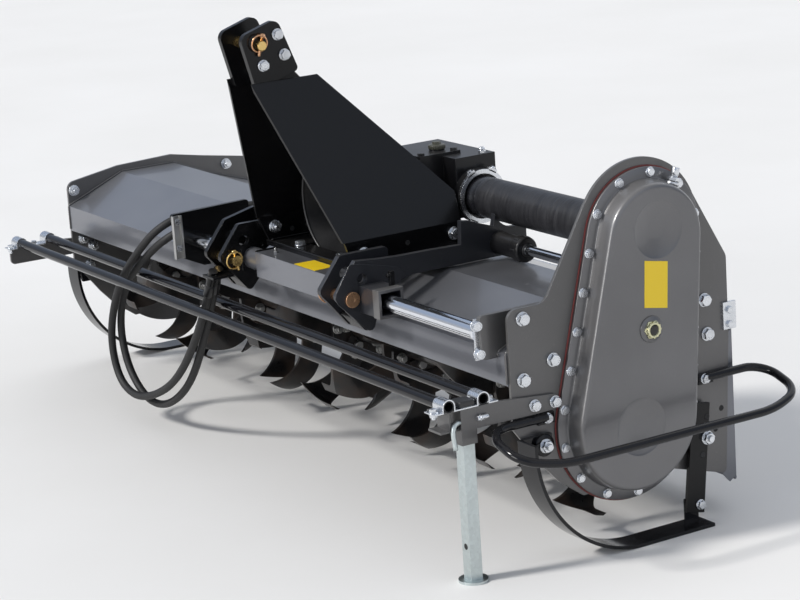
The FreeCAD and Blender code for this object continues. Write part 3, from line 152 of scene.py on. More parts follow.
class Bench:
    """The node tree of one material or of the sky."""

    def __init__(self, name: str, sky: bool = False) -> None:
        """Start an empty tree.

        Args:
            name: the name of the material or of the sky.
            sky: whether it is the sky's.
        """
        self.owner = (bpy.data.worlds if sky else bpy.data.materials).new(name)
        self.owner.use_nodes = True
        self.tree = self.owner.node_tree
        self.tree.nodes.clear()
        self.place = self.node("ShaderNodeTexCoord", {}, "Generated" if sky else "Object")

    def feed(self, node: bpy.types.Node, sockets: dict[Union[int, str], Value]) -> None:
        """Set or link a node's inputs.

        Args:
            node: the node.
            sockets: a value or a link for each input, by name or number.
        """
        for key, value in sockets.items():
            if isinstance(value, Wire):
                self.tree.links.new(value.socket, node.inputs[key])
            else:
                node.inputs[key].default_value = value

    def node(self, kind: str, sockets: dict[Union[int, str], Value],
             out: Union[int, str] = 0, **settings: Union[str, int]) -> Wire:
        """Add any node.

        Args:
            kind: the node's type.
            sockets: a value or a link for each input, by name or number.
            out: the output to give back.
            settings: the node's own settings.

        Returns:
            That output.
        """
        made = self.tree.nodes.new(kind)
        for key, value in settings.items():
            setattr(made, key, value)
        self.feed(made, sockets)
        return Wire(self, made.outputs[out])

    def noise(self, scale: float, detail: float = 3.0, stretch: Point = (1, 1, 1)) -> Wire:
        """Add a noise texture in the piece's own space.

        Args:
            scale: cycles a metre.
            detail: octaves.
            stretch: how the space is scaled along each axis first.

        Returns:
            The noise, from 0 to 1.
        """
        space = self.place
        if stretch != (1, 1, 1):
            space = self.node("ShaderNodeMapping", {"Vector": self.place, "Scale": stretch})
        return self.node("ShaderNodeTexNoise",
                         {"Vector": space, "Scale": scale, "Detail": detail}, "Fac")

    def ramp(self, value: Wire, low: float, high: float) -> Wire:
        """Stretch a value so that low gives 0 and high gives 1."""
        return self.node("ShaderNodeMapRange", {"Value": value, "From Min": low,
                                                "From Max": high})

    def mix(self, share: Value, first: Value, second: Value) -> Wire:
        """Mix two colours.

        Args:
            share: the second one's share.
            first: a colour or a link.
            second: a colour or a link.

        Returns:
            The mixture.
        """
        full = [shade if isinstance(shade, Wire) else (*shade, 1.0) for shade in (first, second)]
        return self.node("ShaderNodeMix", {0: share, 6: full[0], 7: full[1]}, 2,
                         data_type="RGBA")

    def edges(self, radius: float) -> tuple[Wire, Wire]:
        """Round the sharp edges in the shading.

        Args:
            radius: the rounding in metres.

        Returns:
            The rounded normal, and a mask that is 1 on the edges.
        """
        soft = self.node("ShaderNodeBevel", {"Radius": radius}, samples=6)
        flat = self.node("ShaderNodeNewGeometry", {}, "Normal")
        match = self.node("ShaderNodeVectorMath", {0: soft, 1: flat}, "Value",
                          operation="DOT_PRODUCT")
        return soft, self.ramp(match, 0.97, 0.78)

    def upward(self) -> Wire:
        """Give a mask that is 1 where a surface faces up."""
        flat = self.node("ShaderNodeNewGeometry", {}, "Normal")
        return self.ramp(self.node("ShaderNodeSeparateXYZ", {0: flat}, "Z"), 0.4, 0.95)

    def bump(self, height: Wire, depth: float, normal: Wire) -> Wire:
        """Add a bump of a real depth, in metres, on top of a normal."""
        return self.node("ShaderNodeBump", {"Height": height, "Distance": depth,
                                            "Strength": 1.0, "Normal": normal})

    def finish(self, **sockets: Value) -> bpy.types.Material:
        """Feed the shader and close the tree.

        Args:
            sockets: the shader's inputs, with underscores for the spaces in their names.

        Returns:
            The material.
        """
        named = {key.replace("_", " "): value for key, value in sockets.items()}
        shader = self.node("ShaderNodeBsdfPrincipled", named)
        self.feed(self.tree.nodes.new("ShaderNodeOutputMaterial"), {"Surface": shader})
        return self.owner


@dataclass(frozen=True)
class Paint:
    """A sprayed paint: its colour, gloss, flakes, dust and worn edges."""

    name: str
    colour: Colour
    metal: float
    rough: float
    coat: float
    gleam: float = 0.5
    dust: float = 0.12
    wear: float = 0.25
    shades: Pair = (0.82, 1.16)
    bare: Colour = (0.45, 0.45, 0.46)
    dirt: Colour = (0.46, 0.44, 0.41)
    rounding: float = 0.0018
    peel: float = 0.00004

    def material(self) -> bpy.types.Material:
        """Build the paint's material."""
        bench = Bench(self.name)
        soft, rim = bench.edges(self.rounding)
        cloud = bench.noise(2.3, 4)
        flake = bench.noise(2600, 1)
        specks = bench.ramp(bench.noise(140, 5), 0.62, 0.74)
        dust = bench.upward() * (0.35 + bench.noise(9, 6)) * self.dust + specks * self.dust * 0.4
        dust = dust.limited()
        dark, light = ([shade * part for shade in self.colour] for part in self.shades)
        base = bench.mix(bench.ramp(cloud * 0.7 + flake * 0.3, 0.35, 0.65), dark, light)
        worn = (rim * bench.ramp(bench.noise(60, 5), 0.42, 0.72) * self.wear).limited()
        base = bench.mix(dust, bench.mix(worn, base, self.bare), self.dirt)
        rough = bench.ramp(cloud + flake * 0.2, 0.2, 1.1) * 0.12 + self.rough - 0.06
        return bench.finish(Base_Color=base, Metallic=self.metal,
                            Roughness=(rough + dust * 0.5).limited(), Coat_Weight=self.coat,
                            Coat_Roughness=0.1, Specular_IOR_Level=self.gleam,
                            Normal=bench.bump(bench.noise(420, 2), self.peel, soft))


@dataclass(frozen=True)
class Plated:
    """A bare or plated metal: its colour, brushing, spangle and stains."""

    name: str
    colour: Colour
    rough: float
    stain: Colour = (0.35, 0.34, 0.33)
    stains: float = 0.25
    spangle: float = 0.0
    brushed: Point = (1, 1, 1)
    grain: float = 260
    depth: float = 0.00003
    rounding: float = 0.0008

    def material(self) -> bpy.types.Material:
        """Build the metal's material."""
        bench = Bench(self.name)
        soft, _ = bench.edges(self.rounding)
        grain = bench.noise(self.grain, 4, self.brushed)
        stain = bench.ramp(bench.noise(14, 5), 0.52, 0.8) * self.stains
        base = bench.mix(stain, self.colour, self.stain)
        if self.spangle:
            cells = bench.node("ShaderNodeTexVoronoi", {"Vector": bench.place, "Scale": 130.0},
                               "Color")
            shade = bench.node("ShaderNodeSeparateColor", {0: cells})
            base = bench.mix(shade * self.spangle, base, [part * 0.55 for part in self.colour])
        rough = (bench.ramp(grain, 0.2, 0.8) * 0.16 + self.rough - 0.08 + stain * 0.5).limited()
        return bench.finish(Base_Color=base, Metallic=1.0, Roughness=rough,
                            Normal=bench.bump(grain, self.depth, soft))


@dataclass(frozen=True)
class Moulded:
    """A rubber, plastic or paper surface with a fine grain and a little bloom."""

    name: str
    colour: Colour
    rough: float
    grain: float = 700
    depth: float = 0.00005
    bloom: float = 0.1
    rounding: float = 0.0012

    def material(self) -> bpy.types.Material:
        """Build the surface's material."""
        bench = Bench(self.name)
        soft, _ = bench.edges(self.rounding)
        grain = bench.noise(self.grain, 3)
        cloud = bench.ramp(bench.noise(11, 5), 0.35, 0.75)
        pale = [shade * 0.6 + 0.16 for shade in self.colour]
        rough = (bench.ramp(grain, 0.2, 0.8) * 0.14 + self.rough - 0.07).limited()
        return bench.finish(Base_Color=bench.mix((cloud * self.bloom).limited(), self.colour, pale),
                            Roughness=rough, Normal=bench.bump(grain, self.depth, soft))


@dataclass(frozen=True)
class Wrapped:
    """A black tube with a coarse, uneven band wound round part of it along X, its raised bands
    painted paler as a highlight.
    """

    name: str
    colour: Colour
    rough: float
    start: float = 0.53
    blend: float = 0.02
    depth: float = 0.0035
    rounding: float = 0.0015

    def material(self) -> bpy.types.Material:
        """Build the wound tube's material."""
        bench = Bench(self.name)
        soft, _ = bench.edges(self.rounding)
        along = bench.node("ShaderNodeSeparateXYZ", {0: bench.place}, "X")
        wound = bench.ramp(along + bench.noise(9, 2) * 0.03, self.start, self.start + self.blend)
        bands = bench.noise(34, 4, (1, 0.18, 0.18))
        creases = bench.noise(120, 4, (1, 0.12, 0.12))
        height = (bands * 0.7 + creases * 0.3) * wound
        # pale: a lighter colour on the raised bands, a painted highlight of their sheen; the bands'
        # relief is a real bump
        pale = [shade * 1.6 + 0.012 for shade in self.colour]
        base = bench.mix((bench.ramp(bands, 0.35, 0.7) * wound * 0.7).limited(), self.colour, pale)
        rough = bench.ramp(creases, 0.3, 0.7) * 0.14 * wound + wound * 0.08 + self.rough
        return bench.finish(Base_Color=base, Roughness=rough.limited(), Specular_IOR_Level=0.5,
                            Normal=bench.bump(height, self.depth, soft))


@dataclass(frozen=True)
class Soiled:
    """A cutting tool's thin dark paint with brown stains and bare bright rims."""

    name: str
    colour: Colour
    rust: Colour = (0.10, 0.055, 0.03)
    bare: Colour = (0.33, 0.31, 0.29)
    depth: float = 0.00012
    rounding: float = 0.0012

    def material(self) -> bpy.types.Material:
        """Build the tool's material."""
        bench = Bench(self.name)
        soft, rim = bench.edges(self.rounding)
        patches = bench.ramp(bench.noise(16, 6), 0.46, 0.66)
        grit = bench.noise(190, 5)
        worn = (rim * bench.ramp(grit, 0.35, 0.65) * 0.7).limited()
        base = bench.mix(worn, bench.mix((patches * 0.22).limited(), self.colour, self.rust),
                         self.bare)
        return bench.finish(Base_Color=base, Metallic=(worn * 0.8).limited(),
                            Roughness=(patches * 0.22 + 0.24 + grit * 0.1).limited(),
                            Normal=bench.bump(grit, self.depth, soft))


class Coats:
    """Every finish on the tiller, built once."""

    STYLES = (
        # grey_metallic: the hood's and beam's grey paint; its blue cast, missing from the cover's
        # case_grey, is partly painted reflection of the sky
        Paint("grey_metallic", (0.172, 0.178, 0.199), 0.62, 0.33, 0.5),
        Paint("case_grey", (0.155, 0.153, 0.156), 0.5, 0.36, 0.4),
        Paint("graphite", (0.128, 0.125, 0.124), 0.55, 0.38, 0.3),
        Paint("anthracite", (0.020, 0.021, 0.025), 0.0, 0.34, 0.1, 0.4, dust=0.04, wear=0.12),
        Paint("black_paint", (0.0045, 0.0045, 0.005), 0.0, 0.24, 0.06, 0.25, dust=0.015,
              wear=0.05),
        Paint("black_enamel", (0.0045, 0.0045, 0.006), 0.0, 0.12, 0.1, 0.3, dust=0.02, wear=0.04),
        Paint("cast_black", (0.008, 0.008, 0.009), 0.0, 0.32, 0.08, 0.3, dust=0.04, wear=0.08),
        Plated("zinc", (0.72, 0.74, 0.77), 0.26),
        Plated("zinc_dull", (0.46, 0.46, 0.45), 0.36, stains=0.5),
        Plated("galvanised", (0.60, 0.66, 0.66), 0.42, spangle=0.22, stains=0.2),
        Plated("chrome_bar", (0.80, 0.82, 0.86), 0.12, stains=0.12, brushed=(0.1, 1, 1)),
        Plated("yellow_zinc", (0.74, 0.52, 0.20), 0.24, stain=(0.55, 0.38, 0.30)),
        Plated("copper_zinc", (0.66, 0.38, 0.22), 0.28, stain=(0.50, 0.42, 0.25)),
        Plated("brass_ring", (0.66, 0.64, 0.42), 0.22, stain=(0.42, 0.40, 0.24)),
        Plated("raw_shaft", (0.42, 0.42, 0.42), 0.3, stains=0.4),
        Soiled("tine_steel", (0.0085, 0.008, 0.0085)),
        Moulded("gasket_red", (0.20, 0.04, 0.035), 0.6),
        Moulded("hose_rubber", (0.005, 0.005, 0.0055), 0.6, grain=300, depth=0.0009, bloom=0.04),
        Moulded("guard_plastic", (0.012, 0.012, 0.013), 0.34),
        Moulded("black_cap", (0.012, 0.012, 0.013), 0.34),
        Moulded("olive_cap", (0.07, 0.07, 0.05), 0.34),
        # dark_hole: near-black discs of painted shade, put where the plates have holes
        Moulded("dark_hole", (0.004, 0.004, 0.004), 0.7),
        Moulded("yellow_sheet", (0.86, 0.60, 0.015), 0.36, grain=90, depth=0.00001, bloom=0.03),
        Wrapped("tube_wrap", (0.010, 0.010, 0.012), 0.26),
        Moulded("sight_glass", (0.012, 0.011, 0.008), 0.08, depth=0.00001),
    )

    def __init__(self) -> None:
        """Build each material."""
        self.made = {style.name: style.material() for style in self.STYLES}

    def on(self, thing: bpy.types.Object, name: str) -> None:
        """Give a piece one finish in place of those it has."""
        thing.data.materials.clear()
        thing.data.materials.append(self.made[name])


# Shaping

WASHER_TALL = 0.2
WASHER_WIDE = 1.05
HEAD_TALL = 0.66
HEAD_WIDE = 1.55
HEAD_CROWN = 0.94
HEAD_CHAMFER = 30
LABEL_THICK = 0.5


def seat(at: Vector, aim: Aim, turn: float = 0.0) -> Matrix:
    """Give a place whose own Z points along aim.

    Args:
        at: the place, in metres.
        aim: the direction.
        turn: a turn about it, in degrees.

    Returns:
        The matrix from the piece's own space to the frame.
    """
    way = Vector(aim.value if isinstance(aim, Way) else aim).normalized()
    lean = way.to_track_quat("Z", "Y").to_matrix().to_4x4()
    return Matrix.Translation(at) @ lean @ Matrix.Rotation(math.radians(turn), 4, "Z")


def around(steps: int) -> list[float]:
    """List evenly spaced angles of a whole turn, in radians."""
    return [2 * math.pi * step / steps for step in range(steps)]


def circle(middle: Vector, across: Vector, up: Vector, steps: int, start: float = 0.0
           ) -> list[Vector]:
    """List a ring's points, with across and up as its radii at 0 and 90 degrees."""
    turns = [math.radians(start + 360 * step / steps) for step in range(steps)]
    return [middle + across * math.cos(turn) + up * math.sin(turn) for turn in turns]


class Shape:
    """Collects the faces of one piece, then hands it over as an object on a body."""

    def __init__(self) -> None:
        """Start with no faces."""
        self.mesh = bmesh.new()

    def rows(self, rows: Sequence[Sequence[Vector]], caps: bool = True,
             smooth: bool = True) -> None:
        """Skin rings of points.

        Args:
            rows: rings with the same number of points.
            caps: whether the first and last ring get a face.
            smooth: whether the skin is shaded smooth.
        """
        rings = [[self.mesh.verts.new(point) for point in row] for row in rows]
        for low, high in zip(rings, rings[1:]):
            for corners in zip(low, low[1:] + low[:1], high[1:] + high[:1], high):
                self.mesh.faces.new(corners).smooth = smooth
        if caps:
            self.mesh.faces.new(rings[0][::-1])
            self.mesh.faces.new(rings[-1])

    def lathe(self, where: Matrix, profile: Sequence[Pair], sides: int = 24) -> None:
        """Turn a profile of (radius, height) pairs in millimetres about the place's Z axis."""
        self.rows([[where @ spot(radius * math.cos(turn), radius * math.sin(turn), height)
                    for turn in around(sides)] for radius, height in profile])

    def hexagon(self, where: Matrix, wide: float, low: float, high: float) -> None:
        """Add a six-sided head with the round chamfer on its top.

        Args:
            where: the place.
            wide: size across the flats in millimetres.
            low: height of its foot.
            high: height of its top.
        """
        crown = wide / 2 * HEAD_CROWN
        rings = [[], [], []]
        for turn in around(24):
            reach = wide / 2 / math.cos((turn % (math.pi / 3)) - math.pi / 6)
            drop = (reach - crown) * math.tan(math.radians(HEAD_CHAMFER))
            for ring, radius, height in zip(rings, (reach, reach, crown), (low, high - drop, high)):
                ring.append(where @ spot(radius * math.cos(turn), radius * math.sin(turn), height))
        self.rows(rings, smooth=False)

    def bolt(self, at: Vector, aim: Aim, size: float = 12, washer: bool = True,
             stud: float = 0.0, turn: float = 0.0) -> None:
        """Add a bolt head, or a nut on its stud, on a washer.

        Args:
            at: the point on the face below it.
            aim: the way that it points.
            size: thread diameter in millimetres.
            washer: whether it has a washer.
            stud: how far a stud stands past the nut.
            turn: the head's turn in degrees.
        """
        where = seat(at, aim, turn)
        foot = size * WASHER_TALL if washer else 0.0
        if washer:
            self.lathe(where, [(size * 1.02, -0.1), (size * WASHER_WIDE, foot * 0.7),
                               (size * 0.98, foot)], 20)
        high = foot + size * HEAD_TALL
        self.hexagon(where, size * HEAD_WIDE, foot, high)
        tip = [(size * 0.55, high - 0.4), (size * 0.5, high - 0.4), (size * 0.45, high + 0.3)]
        if stud:
            half = size / 2
            tip = [(half, high - 1), (half, high + stud - 1), (half - 1, high + stud)]
        self.lathe(where, tip, 16)

    def sweep(self, points: Sequence[Vector], radius: float, sides: int = 10,
              closed: bool = False) -> None:
        """Run a round section along points.

        Args:
            points: the line, in metres.
            radius: the section's radius in millimetres.
            sides: how many sides.
            closed: whether the line is a ring.
        """
        count = len(points)
        up = None
        rows = []
        for index, point in enumerate(points):
            before = points[(index - 1) % count] if closed or index else point
            after = points[(index + 1) % count] if closed or index < count - 1 else point
            along = (after - before).normalized()
            if up is None:
                up = along.orthogonal().normalized()
            up = (up - along * up.dot(along)).normalized()
            side = along.cross(up)
            rows.append([point + (up * math.cos(turn) + side * math.sin(turn)) * radius * MM
                         for turn in around(sides)])
        self.rows(rows + rows[:1] if closed else rows, caps=not closed)

    def slab(self, where: Matrix, outline: Sequence[Pair], thick: float) -> None:
        """Raise an outline along the place's Z axis."""
        self.rows([[where @ spot(x, y, z) for x, y in outline] for z in (0, thick)], smooth=False)

    def prism(self, low: float, high: float, outline: Outline) -> None:
        """Run an outline of corners (y, z) along X."""
        self.rows([[spot(x, y, z) for y, z in outline] for x in (low, high)], smooth=False)

    def teeth(self, where: Matrix, count: int, root: Pair, tip: Pair, low: float,
              tall: float) -> None:
        """Set teeth round the place's Z axis.

        Args:
            where: the place.
            count: how many.
            root: radius and half width of a tooth's root.
            tip: radius and half width of its tip.
            low: height of the teeth's foot.
            tall: their height above it.
        """
        (inner, wide), (outer, slim) = root, tip
        outline = ((inner, -wide), (outer, -slim), (outer, slim), (inner, wide))
        for turn in around(count):
            foot = Matrix.Rotation(turn, 4, "Z") @ Matrix.Translation(spot(0, 0, low))
            self.slab(where @ foot, outline, tall)

    def mesh_data(self, name: str) -> bpy.types.Mesh:
        """Turn the faces into a mesh, with their normals outward, and let go of them.

        Args:
            name: the mesh's name.

        Returns:
            The mesh.
        """
        bmesh.ops.recalc_face_normals(self.mesh, faces=self.mesh.faces)
        data = bpy.data.meshes.new(name)
        self.mesh.to_mesh(data)
        self.mesh.free()
        return data

    def done(self, name: str, finish: str, body: Body, coats: Coats, bevel: float = 0.0,
             slot: str = "") -> bpy.types.Object:
        """Hand the piece over.

        Args:
            name: the piece's name.
            finish: its finish.
            body: the body it rides on.
            coats: the finishes.
            bevel: width of the bevel on its sharp edges, in millimetres.
            slot: the record's material slot, if it isn't the finish; not used.

        Returns:
            The object.
        """
        bmesh.ops.remove_doubles(self.mesh, verts=self.mesh.verts, dist=1e-6)
        thing = placed(name, self.mesh_data(name))
        coats.on(thing, finish)
        if bevel:
            trim = thing.modifiers.new("bevel", "BEVEL")
            trim.width = bevel * MM
            trim.segments = 2
            trim.limit_method = "ANGLE"
        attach(thing, body.value)
        if slot or finish in SLOTS:
            slot or finish
        log.info("%s: %s on %s, %d faces", name, finish, body.value, len(thing.data.polygons))
        return thing


def carve(thing: bpy.types.Object, blade: Shape) -> None:
    """Cut a closed shape out of a piece, which keeps only the result.

    Args:
        thing: the piece.
        blade: the shape that comes off.
    """
    knife = placed("blade", blade.mesh_data("blade"))
    cut = thing.modifiers.new("cut", "BOOLEAN")
    cut.operation = "DIFFERENCE"
    cut.solver = "EXACT"
    cut.object = knife
    ready = thing.evaluated_get(bpy.context.evaluated_depsgraph_get())
    thing.data = bpy.data.meshes.new_from_object(ready)
    thing.modifiers.clear()
    bpy.data.objects.remove(knife)


# Kinds of parts


def on_face(way: Way, face: float, across: float, up: float) -> Vector:
    """Give a point on a flat face.

    Args:
        way: the way the face looks.
        face: the face's place along that way's axis, in millimetres.
        across: the first of the two other coordinates.
        up: the second.

    Returns:
        The point.
    """
    if way in (Way.NEAR, Way.FAR):
        return spot(face, across, up)
    if way in (Way.AHEAD, Way.BACK):
        return spot(across, face, up)
    return spot(across, up, face)


def bolt_circle(y: float, z: float, radius: float, count: int, first: float) -> Outline:
    """List the centres of evenly spaced bolts on a circle, the first at an angle in degrees."""
    turns = [math.radians(first + 360 / count * index) for index in range(count)]
    return tuple((y + radius * math.cos(turn), z + radius * math.sin(turn)) for turn in turns)


@dataclass(frozen=True)
class Row:
    """Bolts, or nuts on studs, of one size on one flat face."""

    name: str
    body: Body
    way: Way
    face: float
    size: float
    spots: Outline
    stud: float = 0.0
    finish: str = "zinc"
    washer: bool = True
    turn: float = 11

    def build(self, coats: Coats) -> None:
        """Make the bolts as one piece, each turned differently.

        Args:
            coats: the finishes.
        """
        shape = Shape()
        for index, (across, up) in enumerate(self.spots):
            shape.bolt(on_face(self.way, self.face, across, up), self.way, self.size,
                       self.washer, self.stud, turn=37 * index + self.turn)
        shape.done(self.name, self.finish, self.body, coats)


@dataclass(frozen=True)
class Holes:
    """Open holes of one size in one flat face, each a thin dark disc of painted shade in place of a
    real opening.
    """

    name: str
    body: Body
    way: Way
    face: float
    radius: float
    spots: Outline

    def build(self, coats: Coats) -> None:
        """Make the holes as one piece.

        Args:
            coats: the finishes.
        """
        shape = Shape()
        for across, up in self.spots:
            shape.lathe(seat(on_face(self.way, self.face, across, up), self.way),
                        [(self.radius + 0.8, 0), (self.radius, 0.25), (self.radius - 1, 0.1)], 20)
        # the near-black dark_hole finish is painted shade standing in for each hole's shaded inside
        shape.done(self.name, "dark_hole", self.body, coats)


@dataclass(frozen=True)
class Turned:
    """A part of round steps (profiles), six-sided steps (three numbers) and teeth on one axis."""

    name: str
    finish: str
    body: Body
    places: tuple[tuple[Point, Aim], ...]
    steps: tuple[Sequence, ...]
    sides: int = 24
    slot: str = ""
    bevel: float = 0.0
    teeth: tuple = ()

    def build(self, coats: Coats) -> None:
        """Make it in each of its places, as one piece.

        Args:
            coats: the finishes.
        """
        shape = Shape()
        for at, aim in self.places:
            where = seat(spot(*at), aim)
            for step in self.steps:
                if isinstance(step[0], tuple):
                    shape.lathe(where, step, self.sides)
                else:
                    shape.hexagon(where, *step)
            if self.teeth:
                shape.teeth(where, *self.teeth)
        shape.done(self.name, self.finish, self.body, coats, self.bevel, self.slot)


@dataclass
class Assembly:
    """A sub-assembly: parts from a list, and others that its own methods shape."""

    coats: Coats
    parts: tuple[Union[Row, Holes, Turned], ...] = ()

    def build(self) -> None:
        """Make the listed parts, then the others."""
        for part in self.parts:
            part.build(self.coats)
        self.others()

    def others(self) -> None:
        """Make the parts that aren't in the list, if there are any."""


# Sub-assemblies


class Solids(Assembly):
    """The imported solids, each with its finish."""

    FINISHES = {
        "grey_metallic": "hood sleeve_beam rear_shield",
        "case_grey": "chain_case_cover",
        "graphite": "end_plate_near end_plate_far bar_bracket_near guard_arm_near guard_arm_far "
                    "stand_socket rotor_bearing",
        "black_paint": "bar_bracket_far skid_upright_near skid_upright_far hitch_outer_far "
                       "hitch_inner_far mast_ears mast_plate_near mast_plate_far gearbox_base "
                       "hose_rest",
        "anthracite": "hitch_outer_near hitch_inner_near sleeve_end",
        "black_enamel": "guard_tubes skid_near skid_far side_guard",
        "cast_black": "gearbox cylinder_barrel",
        "zinc": "bar_strap_near guard_hoop_near guard_hoop_far tube_clamp shield_hinge",
        "zinc_dull": "bar_strap_far",
        "galvanised": "stand_leg",
        "chrome_bar": "slide_bar cylinder_rod",
        "yellow_zinc": "top_link_pin hitch_pin_far",
        "copper_zinc": "hitch_pin_near",
        "gasket_red": "chain_case_gasket",
        "guard_plastic": "shaft_guard",
        "raw_shaft": "input_shaft",
        "tine_steel": "rotor_shaft tines_left tines_right",
        "tube_wrap": "drive_tube",
        "hose_rubber": "hose_inner hose_outer",
    }

    def others(self) -> None:
        """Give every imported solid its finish."""
        for finish, names in self.FINISHES.items():
            for name in names.split():
                self.coats.on(frame["nodes"][name], finish)
                log.info("%s: %s", name, finish)


@dataclass
class Hoses(Assembly):
    """The two hydraulic hoses, each in one free loop from the port block to the far clevis."""

    diameter: float = 21
    hoses: tuple[tuple[str, float, tuple[Point, ...]], ...] = (
        ("hose_outer", 2.160, (
            (178, 35, 612), (60, 32, 606), (-95, -2, 602), (-262, -52, 599), (-380, -228, 597),
            (-378, -395, 588), (-500, -447, 462), (-605, -447, 355), (-668, -447, 225),
            (-640, -447, 112), (-545, -447, 76), (-420, -447, 104), (-290, -447, 166),
            (-180, -447, 262), (-68, -447, 405), (-28, -446, 479))),
        ("hose_inner", 2.093, (
            (178, 6, 612), (70, 4, 604), (-85, -36, 599), (-240, -82, 596), (-352, -243, 583),
            (-356, -393, 552), (-486, -419, 461), (-592, -421, 382), (-655, -421, 265),
            (-632, -421, 150), (-550, -421, 80), (-455, -421, 64), (-345, -421, 98),
            (-225, -421, 185), (-120, -421, 340), (-41, -423, 480))))

    def others(self) -> None:
        """Lay each hose along its control points, in millimetres, with its length in metres."""
        for name, long, route in self.hoses:
            data = bpy.data.curves.new(name + "_rubber", "CURVE")
            data.dimensions = "3D"
            data.bevel_depth = self.diameter / 2 * MM
            data.bevel_resolution = 5
            data.resolution_u = 10
            data.use_fill_caps = True
            line = data.splines.new("NURBS")
            line.points.add(len(route) - 1)
            for point, place in zip(line.points, route):
                point.co = (*spot(*place), 1)
            line.order_u = 3
            line.use_endpoint_u = True
            thing = placed(name + "_rubber", data)
            self.coats.on(thing, "hose_rubber")
            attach(thing, Body.CARRIAGE.value)
            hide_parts(name)
            spot(*route[0])
            log.info("%s_rubber: %.3f m", name, long)


@dataclass
class Trimmed(Assembly):
    """The plates that are cut back to the edges that the photograph shows."""

    arm_cut: Outline = (
        (-392, 640), (-350, 636), (-318, 633), (-262, 630), (-178, 629), (-90, 626), (-87, 684),
        (-60, 680), (-30, 668), (5, 656), (20, 720), (-392, 720))
    mast_cut: Outline = ((-345, 1095), (-315, 1062), (-7.5, 725), (90, 725), (90, 1095))
    strap_cut: Outline = ((-395, 470), (-361, 470), (-361, 590), (-395, 590))

    def cut(self, node: str, finish: str, slot: str, body: Body, outline: Outline, low: float,
            high: float) -> None:
        """Replace a packed plate by a copy without the part inside an outline.

        Args:
            node: the plate.
            finish: its finish.
            slot: its material slot; not used.
            body: the body it rides on.
            outline: corners (y, z) of what comes off.
            low: the cut's start along X.
            high: the cut's end along X.
        """
        blade = Shape()
        blade.prism(low, high, outline)
        plate = placed(node + "_cut", frame["nodes"][node].data.copy())
        carve(plate, blade)
        self.coats.on(plate, finish)
        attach(plate, body.value)
        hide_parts(node)
        log.info("%s: %s on %s", plate.name, finish, body.value)

    def others(self) -> None:
        """Cut the near clevis's long plate, both mast plates and the bar's near strap."""
        paint = "black_paint"
        self.cut("hitch_outer_near", "anthracite", paint, Body.CARRIAGE, self.arm_cut, 590, 620)
        self.cut("mast_plate_near", paint, paint, Body.CARRIAGE, self.mast_cut, 281, 520)
        self.cut("mast_plate_far", paint, paint, Body.CARRIAGE, self.mast_cut, 40, 279)
        self.cut("bar_strap_near", "zinc", "zinc", Body.TILLER, self.strap_cut, 1060, 1076)


